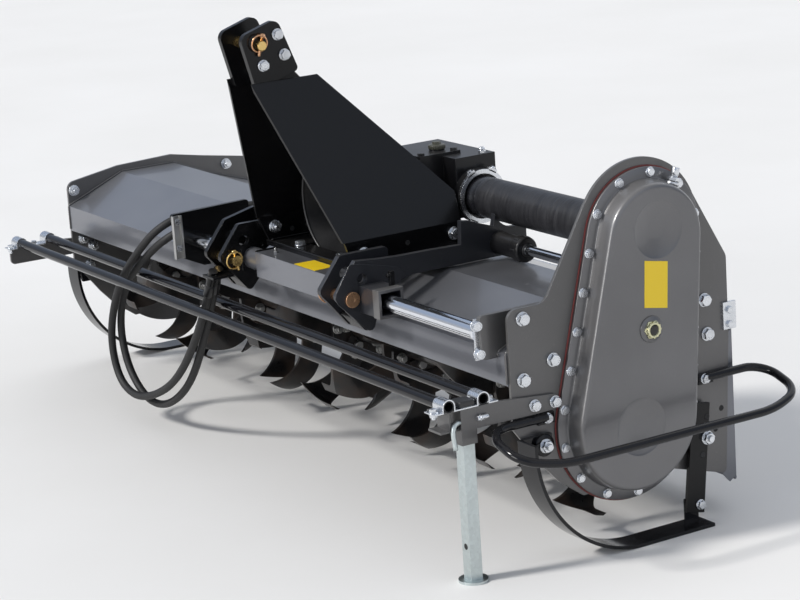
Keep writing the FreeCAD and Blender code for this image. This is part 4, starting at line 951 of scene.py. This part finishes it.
@dataclass
class Fasteners(Assembly):
    """The bolts and nuts on the flat faces, and the open holes beside them, drawn as discs of
    painted shade.
    """

    parts: tuple[Union[Row, Holes], ...] = (
        Row("bolts_plate_near", Body.TILLER, Way.NEAR, 1124, 16,
            ((-270, 573), (-194, 465), (-276, 434), (234, 521), (239, 439))),
        Row("nuts_plate_near", Body.TILLER, Way.FAR, 1116, 16,
            ((-194, 465), (-276, 434), (234, 465), (239, 439)), 4),
        Row("bolts_arm_near", Body.TILLER, Way.NEAR, 1132, 14, ((-255, 373), (-200, 371))),
        Row("bolts_pad_near", Body.TILLER, Way.NEAR, 1132, 12, ((-222, 337), (222, 337))),
        Row("nut_upright_near", Body.TILLER, Way.NEAR, 1144, 16, ((213, 199),), 6),
        Row("bolt_heel_near", Body.TILLER, Way.NEAR, 1144, 12, ((186, 42),)),
        Row("nut_upright_far", Body.TILLER, Way.FAR, -1198, 16, ((213, 199),), 6),
        Row("bolt_heel_far", Body.TILLER, Way.FAR, -1198, 12, ((186, 42),)),
        Row("bolts_hinge_near", Body.TILLER, Way.NEAR, 1130, 10, ((302, 486), (302, 452)),
            washer=False),
        Row("bolts_hinge_far", Body.TILLER, Way.FAR, -1190, 10, ((302, 486), (302, 452)),
            washer=False),
        Row("bolts_plate_far", Body.TILLER, Way.FAR, -1184, 16,
            ((-290, 542), (218, 542), (-274, 434), (239, 439), (234, 521))),
        Row("nuts_plate_far", Body.TILLER, Way.NEAR, -1176, 16,
            ((-290, 542), (218, 542), (-274, 395), (-261, 313), (-245, 369)), 5),
        Row("bolts_arm_far", Body.TILLER, Way.FAR, -1192, 14, ((-255, 373), (-200, 371))),
        Row("bolts_bearing", Body.TILLER, Way.FAR, -1230, 12,
            bolt_circle(0, 295, 58, 6, 30), washer=False),
        Row("bolts_strap_near", Body.TILLER, Way.NEAR, 1070, 14, ((-357, 564), (-353, 499))),
        Row("bolts_strap_far", Body.TILLER, Way.NEAR, -276, 10, ((-403, 602), (-403, 531)),
            washer=False),
        Row("bolts_ear_near", Body.CARRIAGE, Way.NEAR, 340.5, 14,
            ((-397, 1150), (-382, 1100), (-441, 1081))),
        Row("bolts_ear_far", Body.CARRIAGE, Way.FAR, 219.5, 16,
            ((-397, 1150), (-382, 1100), (-441, 1081)), 4),
        Row("bolts_mast_near", Body.CARRIAGE, Way.NEAR, 496, 16, ((-293, 622), (-35, 628))),
        Row("nuts_mast_near", Body.CARRIAGE, Way.FAR, 488, 16, ((-293, 622), (-35, 628)), 6),
        Row("bolts_mast_far", Body.CARRIAGE, Way.FAR, 64, 16, ((-300, 626), (-35, 628))),
        Row("nuts_mast_far", Body.CARRIAGE, Way.NEAR, 72, 16, ((-300, 626), (-35, 628)), 6),
        Row("bolts_lid", Body.CARRIAGE, Way.UP, 808, 10,
            ((302, -48), (388, -48), (302, 48), (388, 48)), finish="black_cap", washer=False),
        Row("bolts_box_front", Body.CARRIAGE, Way.AHEAD, -110, 10,
            bolt_circle(280, 702, 88, 4, 45), finish="black_cap", washer=False),
        Row("bolts_ring", Body.CARRIAGE, Way.FAR, 455, 10,
            ((11, 680), (24, 745), (119, 660)), finish="black_cap", washer=False),
        Row("bolts_box_far", Body.CARRIAGE, Way.FAR, 195, 10,
            ((-95, 668), (-95, 785), (110, 668), (110, 785)), finish="black_cap", washer=False),
        Row("bolts_base", Body.CARRIAGE, Way.UP, 592, 14,
            ((180, -290), (380, -290), (180, -60), (380, -60), (150, -155), (410, -155))),
        Row("bolts_hoop_near", Body.TILLER, Way.UP, 406, 10, ((1112, -506), (1112, -361))),
        Row("nuts_hoop_near", Body.TILLER, Way.DOWN, 403, 10, ((1112, -506), (1112, -361)), 5),
        Row("bolts_hoop_far", Body.TILLER, Way.UP, 406, 10,
            ((-1176, -506), (-1176, -433), (-1176, -361))),
        Row("nuts_hoop_far", Body.TILLER, Way.DOWN, 403, 10,
            ((-1176, -506), (-1176, -433), (-1176, -361)), 5),
        Holes("holes_upright", Body.TILLER, Way.NEAR, 1144, 7, ((215, 249), (199, 160))),
        Holes("holes_plate_near", Body.TILLER, Way.NEAR, 1124, 6, ((274, 253), (255, 206))),
        Holes("holes_mast_near", Body.CARRIAGE, Way.NEAR, 496, 6, ((-168, 627),)),
        Holes("holes_mast_far", Body.CARRIAGE, Way.NEAR, 72, 6, ((-250, 612), (-200, 616))),
        Holes("hole_leg_front", Body.LEG, Way.AHEAD, -444, 6.5, ((1112, 83),)),
        Holes("hole_leg_back", Body.LEG, Way.BACK, -414, 6.5, ((1112, 83),)),
    )


@dataclass
class ChainCase(Assembly):
    """The chain case's cover, flange bolts, plugs, level glass and label."""

    parts: tuple[Turned, ...] = (
        Turned("level_boss", "case_grey", Body.TILLER, (((1186, 34, 502), Way.NEAR),),
               (((31, -0.5), (31, 1.5), (28.5, 4), (17, 4), (17, 11.8)),), 36, "grey_metallic"),
        Turned("level_ring", "brass_ring", Body.TILLER, (((1186, 34, 502), Way.NEAR),),
               ((39, 4, 8.5), ((18.2, 8), (18.2, 13.2), (17.2, 14.4), (13.6, 14.4), (12.8, 13.4),
                               (12.8, 12.2))),
               36, "yellow_zinc", teeth=(12, (17.6, 2.2), (19.6, 2.0), 8.4, 4.4)),
        Turned("level_glass", "sight_glass", Body.TILLER, (((1186, 34, 502), Way.NEAR),),
               (((12.7, 12.1), (11, 13.0), (7, 13.6), (2, 13.8)),), 32, "guard_plastic"),
        Turned("breather", "zinc", Body.TILLER, (((1153, 134, 812), (0.06, 0.30, 0.95)),),
               (((15, 0), (15, 6), (13, 8)), (24, 8, 17),
                ((8.2, 16), (8.2, 22), (9.6, 23), (9.6, 38), (8.6, 40)))),
        Turned("breather_seal", "black_cap", Body.TILLER, (((1153, 134, 812), (0.06, 0.30, 0.95)),),
               (((13.4, 7.4), (13.8, 8.6), (13.2, 9.6)),), slot="hose_rubber"),
        Turned("drain_plug", "zinc", Body.TILLER, (((1150, 88, 158), (0, 0.54, -0.84)),),
               (((17, -6), (17, 3), (15, 5)), (24, 5, 14))),
    )
    flange_x: float = 1134
    face_x: float = 1186
    low: Point = (0, 295, 183)
    top: Point = (65, 702, 146)
    bolts: int = 21
    bolt_size: float = 11
    first: float = 216.4
    label: Outline = ((24, 661), (18, 554), (82, 542), (88, 649))
    rows: tuple[Point, ...] = (
        (1126, 196, 158), (1133, 196, 158), (1134, 195, 157), (1134, 172, 136),
        (1134.7, 169.6, 134), (1137, 168.4, 132.4), (1150, 167.2, 131.2), (1164, 165.6, 129.6),
        (1176, 164, 128), (1179, 163.2, 127.2), (1182, 161.4, 125.4), (1184.4, 158.8, 122.8),
        (1185.7, 155.8, 119.8), (1186, 152.6, 116.6))
    lean: float = -4
    dishes: tuple[Point, ...] = ((66, 726, 66), (-3, 281, 67))
    dish: Outline = ((0.02, -12), (0.3, -11.8), (0.4, -10.8), (0.68, -7), (0.92, -3),
                     (0.985, -1.4), (1.02, 0.4), (1.02, 4))

    def ring(self, low: float, top: float, fine: int = 1) -> list[Pair]:
        """List the points (y, z) of an oval, over the head and down the front to the foot.

        Args:
            low: its radius about the foot.
            top: its radius about the head.
            fine: how many times as many points.

        Returns:
            The points, in millimetres.
        """
        (y0, z0, _), (y1, z1, _) = self.low, self.top
        lean = math.acos((low - top) / math.hypot(y1 - y0, z1 - z0))
        along = math.atan2(z1 - z0, y1 - y0)
        front, rear = along + lean, along - lean
        points = []
        for y, z, radius, start, end, steps in ((y1, z1, top, rear, front, 28 * fine),
                                                (y0, z0, low, front, rear + math.tau, 32 * fine)):
            for step in range(steps + 1):
                turn = start + (end - start) * step / steps
                points.append((y + radius * math.cos(turn), z + radius * math.sin(turn)))
        return points

    def cover(self) -> None:
        """Press the cover: a flange, a steep wall with a round brow, and two dishes."""
        shape = Shape()
        rows = []
        for x, low, top in self.rows:
            shift = self.lean * max(0.0, x - self.flange_x) / (self.face_x - self.flange_x)
            rows.append([spot(x, y + shift, z) for y, z in self.ring(low, top)])
        shape.rows(rows)
        thing = shape.done("case_cover", "case_grey", Body.TILLER, self.coats,
                           slot="grey_metallic")
        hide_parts("chain_case_cover")
        for y, z, radius in self.dishes:
            blade = Shape()
            blade.lathe(seat(spot(self.face_x, y, z), Way.NEAR),
                        [(share * radius, height) for share, height in self.dish], 64)
            carve(thing, blade)

    def bolt_spots(self) -> Iterator[Pair]:
        """Space the bolts evenly round the flange, from the first one's distance on.

        Yields:
            The centre (y, z) of each.
        """
        line = self.ring(self.low[2], self.top[2], 40)
        line.append(line[0])
        walked = [0.0, *accumulate(math.dist(*ends) for ends in zip(line, line[1:]))]
        for index in range(self.bolts):
            goal = (self.first + index * walked[-1] / self.bolts) % walked[-1]
            step = bisect(walked, goal) - 1
            share = (goal - walked[step]) / (walked[step + 1] - walked[step])
            (y0, z0), (y1, z1) = line[step:step + 2]
            yield y0 + (y1 - y0) * share, z0 + (z1 - z0) * share

    def others(self) -> None:
        """Make the cover, set the bolts round its flange and lay the blank label on its face."""
        self.cover()
        shape = Shape()
        for index, (y, z) in enumerate(self.bolt_spots()):
            foot = spot(self.flange_x, y, z)
            shape.bolt(foot, Way.NEAR, self.bolt_size, False, turn=23 * index)
            shape.lathe(seat(foot, Way.NEAR), [(12, 0), (12, 1.2), (10.5, 2.4)], 20)
        shape.done("bolts_flange", "zinc", Body.TILLER, self.coats)
        shape = Shape()
        shape.prism(self.face_x, self.face_x + LABEL_THICK, self.label)
        shape.done("label_case", "yellow_sheet", Body.TILLER, self.coats, slot="gasket_red")


@dataclass
class Pins(Assembly):
    """The linch pins with their rings, and the ends of the pins that they hold."""

    parts: tuple[Turned, ...] = (
        Turned("pin_face_near", "copper_zinc", Body.CARRIAGE, (((619, -402, 550), Way.NEAR),),
               (((19, -0.2), (18.8, 0.7), (18.3, 1.2), (18.0, 1.2), (17.4, 1.2), (6, 1.2),
                 (5.4, 1.2), (5, 1.2), (4.4, 0.6), (4.1, 0.6)),), 32, "yellow_zinc"),
        Turned("pin_faces_top", "yellow_zinc", Body.CARRIAGE,
               (((354.5, -447, 1130), Way.NEAR), ((205.5, -447, 1130), Way.FAR)),
               (((12.5, -0.2), (10.6, 2.2)),), 28),
    )
    linch: Outline = ((2.6, 0), (4, 3), (4, 44), (6.5, 45), (7.5, 50), (5.5, 55))
    sink: float = 0.026
    hang: Point = (0.003, 0.004, -0.006)
    tilt: float = 0.16
    linches: tuple[tuple[str, Point, int, float, float, str], ...] = (
        ("linch_far", (44, -402, 550), 1, 22, 12, "yellow_zinc"),
        ("linch_near", (515.5, -402, 550), -1, 23, 24, "copper_zinc"),
        ("linch_top", (348, -447, 1130), 1, 20, -16, "copper_zinc"))

    def others(self) -> None:
        """Make each linch pin: a short pin through the tail, its head and its ring.

        A row holds its name, the middle of the tail's hole, 1 or -1 as the tail points to +X
        or -X, its ring's radius, its lean in degrees and its finish.
        """
        for name, at, side, ring, lean, finish in self.linches:
            middle = spot(*at)
            turn = Matrix.Rotation(math.radians(lean), 3, "X")
            up, back = turn @ Vector((0, 0, 1)), turn @ Vector((0, 1, 0))
            shape = Shape()
            shape.lathe(seat(middle - up * self.sink, up), self.linch, 18)
            out, rise, aft = self.hang
            centre = middle + Vector((side * out, 0, 0)) + up * rise + back * aft
            tilted = up + Vector((side * self.tilt, 0, 0))
            shape.sweep(circle(centre, back * ring * MM, tilted * ring * MM, 36, 90), 2.1, 8,
                        closed=True)
            shape.done(name, finish, Body.CARRIAGE, self.coats, slot="yellow_zinc")


@dataclass
class Headstock(Assembly):
    """The small parts of the headstock: spacers, cheek, label, greasers and shaft details."""

    parts: tuple[Turned, ...] = (
        Turned("greasers", "zinc_dull", Body.CARRIAGE,
               (((160, -350, 580), Way.UP), ((470, -350, 580), Way.UP),
                ((60, -322, 560), Way.BACK)),
               ((9, 0, 5), ((2.6, 4.8), (2.6, 7), (3.5, 8.5), (3.5, 11), (1.6, 13))), 14, "zinc"),
        Turned("splines", "raw_shaft", Body.SHAFT, (((280, -213, 702), Way.BACK),), (),
               teeth=(6, (16.2, 4.4), (19.1, 4), 0, 84)),
    )
    gaps: tuple[tuple[str, float, float], ...] = (("near", 538, 597), ("far", -37, 22))
    foot: Outline = ((-394, 501), (-367, 468), (-352, 470), (-349, 476), (-365, 476), (-389, 506))
    cheek: Outline = (
        (-398, 634), (-373, 631), (-277, 608), (-263, 600), (-250, 583), (-268, 568), (-299, 562),
        (-322, 559), (-334, 506), (-345, 472), (-352, 467), (-361, 467), (-370, 474), (-441, 545),
        (-446, 558), (-443, 571), (-405, 630))
    cheek_x: Pair = (611.6, 614.4)
    spare_hole: Point = (605, -371, 594)
    sleeve: Pair = (-350, 548)
    frame_rows: Outline = ((679, 34.24), (706, 34.24), (706, 27.2), (679, 27.2))
    label: Outline = ((303, -379), (405, -379), (402, -323), (306, -323))
    stop: Outline = ((668, -332), (678, -332), (678, -320), (668, -320))
    beam_top: float = 580
    guard: Point = (280, -249, 702)
    guard_radius: float = 140

    def plates(self) -> None:
        """Join the clevis plates along their front edges and double the near one, with a hole."""
        for label, start, end in self.gaps:
            shape = Shape()
            shape.prism(start, end, self.foot)
            shape.done("clevis_foot_" + label, "black_paint", Body.CARRIAGE, self.coats, 1)
        shape = Shape()
        shape.prism(*self.cheek_x, self.cheek)
        thing = shape.done("clevis_cheek", "anthracite", Body.CARRIAGE, self.coats, 0.8,
                           "black_paint")
        blade = Shape()
        blade.lathe(seat(spot(*self.spare_hole), Way.NEAR), [(13.5, 0), (13.5, 20)], 32)
        carve(thing, blade)

    def sleeve_frame(self) -> None:
        """Weld the square ring round the sleeve's near end."""
        shape = Shape()
        y, z = self.sleeve
        shape.rows([[spot(x, y + side * reach, z + tall * reach) for x, reach in self.frame_rows]
                    for side, tall in ((-1, -1), (1, -1), (1, 1), (-1, 1), (-1, -1))],
                   caps=False, smooth=False)
        shape.done("sleeve_frame", "graphite", Body.CARRIAGE, self.coats, 1, "grey_metallic")

    def others(self) -> None:
        """Make the plates, the ring, the blank label, the small stop and the guard's rim."""
        self.plates()
        self.sleeve_frame()
        top = Matrix.Translation(spot(0, 0, self.beam_top))
        shape = Shape()
        shape.slab(top, self.label, LABEL_THICK)
        shape.done("label_beam", "yellow_sheet", Body.CARRIAGE, self.coats, slot="gasket_red")
        shape = Shape()
        shape.slab(top, self.stop, 36)
        shape.lathe(seat(spot(673, -332, 606), Way.AHEAD), [(5, 0), (5, 6), (4, 7)], 16)
        shape.done("sleeve_stop", "black_paint", Body.CARRIAGE, self.coats, 1.5)
        rim = Shape()
        radius = self.guard_radius
        rim.sweep(circle(spot(*self.guard), spot(radius, 0, 0), spot(0, 0, radius), 64), 3.6,
                  closed=True)
        rim.done("guard_rim", "guard_plastic", Body.CARRIAGE, self.coats)


@dataclass
class Gearbox(Assembly):
    """The small parts of the gearbox: its filler cap, breather, ribs and clamp ears."""

    parts: tuple[Turned, ...] = (
        Turned("filler_cap", "olive_cap", Body.CARRIAGE, (((355, 20, 822), Way.UP),),
               (((20.6, -10), (20.6, -1), (18.5, 1), (9, 1.2)), (19, 1, 8)), 40, "guard_plastic",
               teeth=(24, (19.2, 1.3), (21.6, 0.9), -9, 8)),
        Turned("box_breather", "zinc", Body.CARRIAGE, (((442, 96, 800), Way.UP),),
               ((17, 0, 7), ((7, 7), (8, 8), (8, 12), (5, 15))), 20),
    )
    clamp: Point = (480, 65, 702)
    clamp_radius: float = 0.0665
    ear: Outline = ((-12, -5), (12, -5), (12, 5), (-12, 5))
    ear_turns: tuple[float, ...] = (62, 118, 242, 298)
    ribs_x: Point = (232, 280, 328)
    rib: Outline = ((125, 655), (137, 668), (137, 780), (125, 793))

    def others(self) -> None:
        """Make the ears round the clamp, each with its bolt, and the ribs."""
        ears = Shape()
        for lean in map(math.radians, self.ear_turns):
            out = Vector((0, math.cos(lean), math.sin(lean)))
            middle = spot(*self.clamp) + out * self.clamp_radius
            where = Matrix.Translation(middle) @ out.to_track_quat("Z", "X").to_matrix().to_4x4()
            ears.slab(where @ Matrix.Translation(spot(0, 0, -3)), self.ear, 9)
            ears.bolt(middle + out * 0.006, out, 7, False)
        ears.done("clamp_ears", "zinc", Body.CARRIAGE, self.coats, 1)
        ribs = Shape()
        for x in self.ribs_x:
            ribs.prism(x - 5, x + 5, self.rib)
        ribs.done("box_ribs", "cast_black", Body.CARRIAGE, self.coats, 2)


@dataclass
class ShiftCylinder(Assembly):
    """The small parts of the side shift cylinder: its nuts, wiper, weld and hose fittings."""

    parts: tuple[Turned, ...] = (
        Turned("gland_nut", "cast_black", Body.CARRIAGE, (((729, 20, 613), Way.NEAR),),
               (((29.6, -34), (31, -32), (31, -3), (28, 1), (16.5, 1.2)),), 40, bevel=0.8,
               teeth=(6, (29, 4), (32.2, 4), -26, 16)),
        Turned("rod_wiper", "black_cap", Body.CARRIAGE, (((729, 20, 613), Way.NEAR),),
               (((16.8, 0.8), (15.6, 4.2), (12.8, 5.2)),), 32, "hose_rubber"),
        Turned("barrel_weld", "cast_black", Body.CARRIAGE, (((300, 20, 613), Way.NEAR),),
               (((28.4, -4), (30, -1), (28.4, 3)),), 36),
        Turned("rod_nut", "zinc", Body.TILLER, (((1116, 20, 613), Way.FAR),),
               (((30, 0), (30, 6), (27, 8), (14, 8)), (40, 8, 22)), 32),
        Turned("port_fittings", "zinc", Body.CARRIAGE,
               (((178, 35, 612), (118, 3, 6)), ((178, 6, 612), (108, 2, 8))),
               ((26, 12, 24), ((11.4, -34), (13, -32), (12.2, -22), (13.2, -20), (12.4, -10),
                               (13.2, -8), (12.6, 2), (11.6, 4))), 28),
        Turned("rest_fittings", "cast_black", Body.CARRIAGE,
               (((-28, -446, 479), (40, 1, 74)), ((-41, -423, 480), (79, -2, 140))),
               (((11.4, -30), (13, -28), (12.2, -18), (13.2, -16), (12.4, -6), (13, -4), (13, 6),
                 (11.6, 8)),), 28),
    )


@dataclass
class Stand(Assembly):
    """The parking leg's cap, and the pin that holds the leg with its bent handle."""

    parts: tuple[Turned, ...] = (
        Turned("leg_pin", "zinc", Body.TILLER, (((1137.5, -411, 378), Way.BACK),),
               (((5.6, 0), (5.6, 27), (4.4, 30)), ((8.4, 7), (8.4, 9.4))), 20),
    )
    handle: tuple[Point, ...] = (
        (1127, -449, 375), (1127, -456, 374), (1127, -462, 371), (1128, -466, 365),
        (1128, -468, 356), (1128, -468, 346), (1128, -467, 336), (1129, -466, 325),
        (1130, -466, 315))
    leg: Pair = (1112, -429)
    cap: Outline = ((-1, -0.8), (-0.8, -1), (0.8, -1), (1, -0.8), (1, 0.8), (0.8, 1), (-0.8, 1),
                    (-1, 0.8))
    cap_rows: Outline = ((19.4, 407.5), (20, 409.5), (20, 418), (18, 420.5))

    def others(self) -> None:
        """Make the cap and the handle."""
        cap = Shape()
        x0, y0 = self.leg
        cap.rows([[spot(x0 + x * wide, y0 + y * wide, z) for x, y in self.cap]
                  for wide, z in self.cap_rows], smooth=False)
        cap.done("leg_cap", "black_cap", Body.LEG, self.coats, 1, "guard_plastic")
        handle = Shape()
        handle.sweep([spot(*point) for point in self.handle], 5.6, 14)
        handle.done("leg_handle", "galvanised", Body.TILLER, self.coats)


@dataclass
class SkidPivot(Assembly):
    """The round bosses and nuts on which the skids pivot."""

    parts: tuple[Union[Row, Turned], ...] = tuple(
        part for label, way, face, outer in (("near", Way.NEAR, 1136, 1146.5),
                                             ("far", Way.FAR, -1196, -1206.5))
        for part in (
            Turned("pivot_boss_" + label, "black_enamel", Body.TILLER, (((face, -241, 280), way),),
                   (((26, -4), (26, 8), (23.5, 10.5), (12, 10.5)),), 36),
            Row("pivot_nut_" + label, Body.TILLER, way, outer, 16, ((-241, 280),), 8, turn=0)))


@dataclass
class TineBolts(Assembly):
    """The bolt heads and nuts that hold the tines on their flanges, one piece a hand."""

    first: float = -1051
    last: float = 991
    axis: float = 295
    count: int = 9
    turn: float = 37
    radii: Pair = (60, 86)
    size: float = 14
    head_out: float = 14
    nut_out: float = 6

    def others(self) -> None:
        """Make both hands' bolts."""
        pitch = (self.last - self.first) / (self.count - 1)
        for hand, label, start in ((1, "right", 0), (-1, "left", 60)):
            shape = Shape()
            for index in range(self.count):
                x = self.first + index * pitch
                for step in range(3):
                    turn = step * 120 + start + index * self.turn
                    lean = math.radians(turn)
                    for radius in self.radii:
                        y, z = -radius * math.sin(lean), self.axis + radius * math.cos(lean)
                        shape.bolt(spot(x + hand * self.head_out, y, z), (hand, 0, 0), self.size,
                                   False, turn=turn)
                        shape.bolt(spot(x - hand * self.nut_out, y, z), (-hand, 0, 0), self.size,
                                   True, 5, turn + 20)
            shape.done("tine_bolts_" + label, "zinc_dull", Body.ROTOR, self.coats, slot="zinc")


@dataclass
class Welds(Assembly):
    """The weld beads between plates, each a lumpy line of paint-covered metal."""

    end_plates: Pair = (1114, -1174)
    slope: Outline = ((-311, 427), (-311, 498), (-130, 574), (40, 574), (150, 526), (290, 480))
    brackets: tuple[tuple[float, float, float, float], ...] = (
        (-293, 476, -187, 552), (-279, 476, -187, 552), (1069.5, 487, -172, 557),
        (1082.5, 487, -172, 557))
    bend: Pair = (-311, 498)
    head: tuple[tuple[Point, Point, float], ...] = (
        ((523, -382, 518), (523, -382, 578), 3), ((523, -320, 517), (523, -320, 578), 3),
        ((37, -382, 518), (37, -382, 578), 3), ((37, -320, 517), (37, -320, 578), 3),
        ((113, -318, 581), (113, -382, 581), 3), ((521, -318, 581), (521, -382, 581), 3),
        ((66, -321, 593), (494, -321, 593), 3), ((66, -15, 593), (494, -15, 593), 3),
        ((484, -315, 594), (484, -16, 594), 3.5), ((76, -315, 594), (76, -16, 594), 3.5),
        ((197, -112, 594), (398, -112, 594), 3.5))

    def bead(self, shape: Shape, start: Point, end: Point, radius: float = 3.2) -> None:
        """Run one bead.

        Args:
            shape: the piece it joins.
            start: its first point.
            end: its last point.
            radius: its radius in millimetres.
        """
        begin, close = spot(*start), spot(*end)
        along = close - begin
        count = max(3, int(along.length / (radius * MM * 1.1)))
        up = along.orthogonal().normalized()
        side = along.normalized().cross(up)
        rows = []
        for index in range(count + 1):
            swell = radius * (0.86 + 0.20 * (index % 2)) * (0.5 if index in (0, count) else 1)
            rows.append([begin + along * index / count
                         + (up * math.cos(turn) + side * math.sin(turn)) * swell * MM
                         for turn in around(8)])
        shape.rows(rows)

    def others(self) -> None:
        """Run the beads on the tiller and on the headstock."""
        body = Shape()
        for x in self.end_plates:
            for (y0, z0), (y1, z1) in zip(self.slope, self.slope[1:]):
                self.bead(body, (x, y0 - 1, z0 + 2), (x, y1 - 1, z1 + 2), 3)
        for x, low, y, z in self.brackets:
            self.bead(body, (x, self.bend[0], low), (x, *self.bend))
            self.bead(body, (x, *self.bend), (x, y, z))
        body.done("welds_hood", "graphite", Body.TILLER, self.coats, slot="grey_metallic")
        head = Shape()
        for start, end, radius in self.head:
            self.bead(head, start, end, radius)
        head.done("welds_headstock", "black_paint", Body.CARRIAGE, self.coats)


@dataclass
class ShieldEdge(Assembly):
    """The round bar along the rear shield's lower edge and its upright ribs."""

    bar: tuple[Point, ...] = ((-1168, 321, 70), (0, 321, 70), (1108, 321, 70))
    ribs: tuple[float, ...] = (-760, -380, 0, 380, 760)
    rib: Outline = ((18, 322), (12.6, 328), (-12.6, 328), (-18, 322))
    heights: Pair = (82, 428)

    def others(self) -> None:
        """Make the bar and the ribs."""
        shape = Shape()
        shape.sweep([spot(*point) for point in self.bar], 5, 12)
        for x in self.ribs:
            shape.rows([[spot(x + side, y, z) for side, y in self.rib] for z in self.heights],
                       smooth=False)
        shape.done("shield_ribs", "grey_metallic", Body.SHIELD, self.coats, 1)


# Stage


@dataclass
class Studio:
    """The floor, the lamps, the sky and the camera."""

    eye: Point = (5592.6, -3261.8, 1979.2)
    yaw: float = 59.01
    pitch: float = 14.06
    roll: float = -3.87
    lens: float = 113.94
    sensor: float = 36
    sight: float = 100
    floor_reach: float = 40
    sun_far: float = 8
    daylight: Colour = (1.0, 0.98, 0.95)
    lamps: tuple[tuple[str, Point, float, float], ...] = (
        ("key", (-0.207, -0.735, 0.643), 2.6, 9), ("front", (0.05, -0.97, 0.22), 0.8, 24),
        ("fill", (0.9, 0.1, 0.4), 0.25, 60), ("back", (-0.3, 0.8, 0.5), 0.45, 60))
    heaven: tuple[tuple[float, Colour], ...] = (
        (0.0, (0.86, 0.86, 0.86)), (1.0, (0.36, 0.52, 0.95)), (0.4, (0.60, 0.74, 1.0)))
    glow: float = 0.56
    backdrop: Colour = (0.86, 0.86, 0.87)
    floors: tuple[Colour, Colour] = ((0.75, 0.74, 0.72), (0.79, 0.78, 0.765))

    def camera(self) -> None:
        """Place the camera at the photograph's viewing angle."""
        yaw, pitch, roll = (math.radians(turn) for turn in (self.yaw, self.pitch, self.roll))
        ahead = Vector((-math.sin(yaw) * math.cos(pitch), math.cos(yaw) * math.cos(pitch),
                        -math.sin(pitch)))
        right = Vector((math.cos(yaw), math.sin(yaw), 0))
        up = right.cross(ahead)
        across = right * math.cos(roll) + up * math.sin(roll)
        tall = up * math.cos(roll) - right * math.sin(roll)
        data = bpy.data.cameras.new("view")
        data.lens = self.lens
        data.sensor_width = self.sensor
        data.clip_end = self.sight
        camera = placed("view", data)
        turn = Matrix((across, tall, -ahead)).transposed().to_4x4()
        camera.matrix_world = Matrix.Translation(spot(*self.eye)) @ turn
        bpy.context.scene.camera = camera

    def floor(self) -> None:
        """Lay the pale floor."""
        shape = bmesh.new()
        bmesh.ops.create_grid(shape, x_segments=1, y_segments=1, size=self.floor_reach)
        data = bpy.data.meshes.new("floor")
        shape.to_mesh(data)
        shape.free()
        floor = placed("floor", data)
        bench = Bench("floor")
        shade = bench.mix(bench.ramp(bench.noise(0.9, 6), 0.3, 0.7), *self.floors)
        data.materials.append(bench.finish(Base_Color=shade, Roughness=0.85))

    def lamp(self, name: str, way: Point, strength: float, wide: float) -> None:
        """Hang an even lamp, so large and far that its light is the same everywhere.

        Args:
            name: its name.
            way: the direction towards it.
            strength: its strength in watts a square metre.
            wide: its width in degrees.
        """
        data = bpy.data.lights.new(name, "SUN")
        data.energy = strength
        data.angle = math.radians(wide)
        data.color = self.daylight
        placed(name, data).matrix_world = seat(Vector(way) * self.sun_far, way)

    def sky(self) -> None:
        """Give the light of a clear sky, pale at the horizon and blue overhead.

        The camera sees a plain pale backdrop instead of it.
        """
        bench = Bench("sky", sky=True)
        height = bench.node("ShaderNodeSeparateXYZ", {0: bench.place}, "Z")
        band = bench.node("ShaderNodeValToRGB", {"Fac": height})
        stops = band.socket.node.color_ramp.elements
        for stop, (place, shade) in zip((stops[0], stops[1], stops.new(0.3)), self.heaven):
            stop.position = place
            stop.color = (*shade, 1)
        light = bench.node("ShaderNodeBackground", {"Color": band, "Strength": self.glow})
        plain = bench.node("ShaderNodeBackground", {"Color": (*self.backdrop, 1)})
        seen = bench.node("ShaderNodeLightPath", {}, "Is Camera Ray")
        blend = bench.node("ShaderNodeMixShader", {0: seen, 1: light, 2: plain})
        bench.feed(bench.tree.nodes.new("ShaderNodeOutputWorld"), {"Surface": blend})
        bpy.context.scene.world = bench.owner

    def build(self) -> None:
        """Set the whole stage."""
        self.camera()
        self.floor()
        self.sky()
        for lamp in self.lamps:
            self.lamp(*lamp)
        bpy.context.scene.view_settings.view_transform = "Standard"


def main() -> None:
    """Build the looks in order."""
    logging.basicConfig(level=logging.INFO, format="%(message)s")
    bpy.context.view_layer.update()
    coats = Coats()
    Studio().build()
    for assembly in (Hoses, Solids, Trimmed, Fasteners, ChainCase, Pins, Headstock, Gearbox,
                     ShiftCylinder, Stand, SkidPivot, TineBolts, Welds, ShieldEdge):
        assembly(coats).build()


if __name__ == "__main__":
    main()
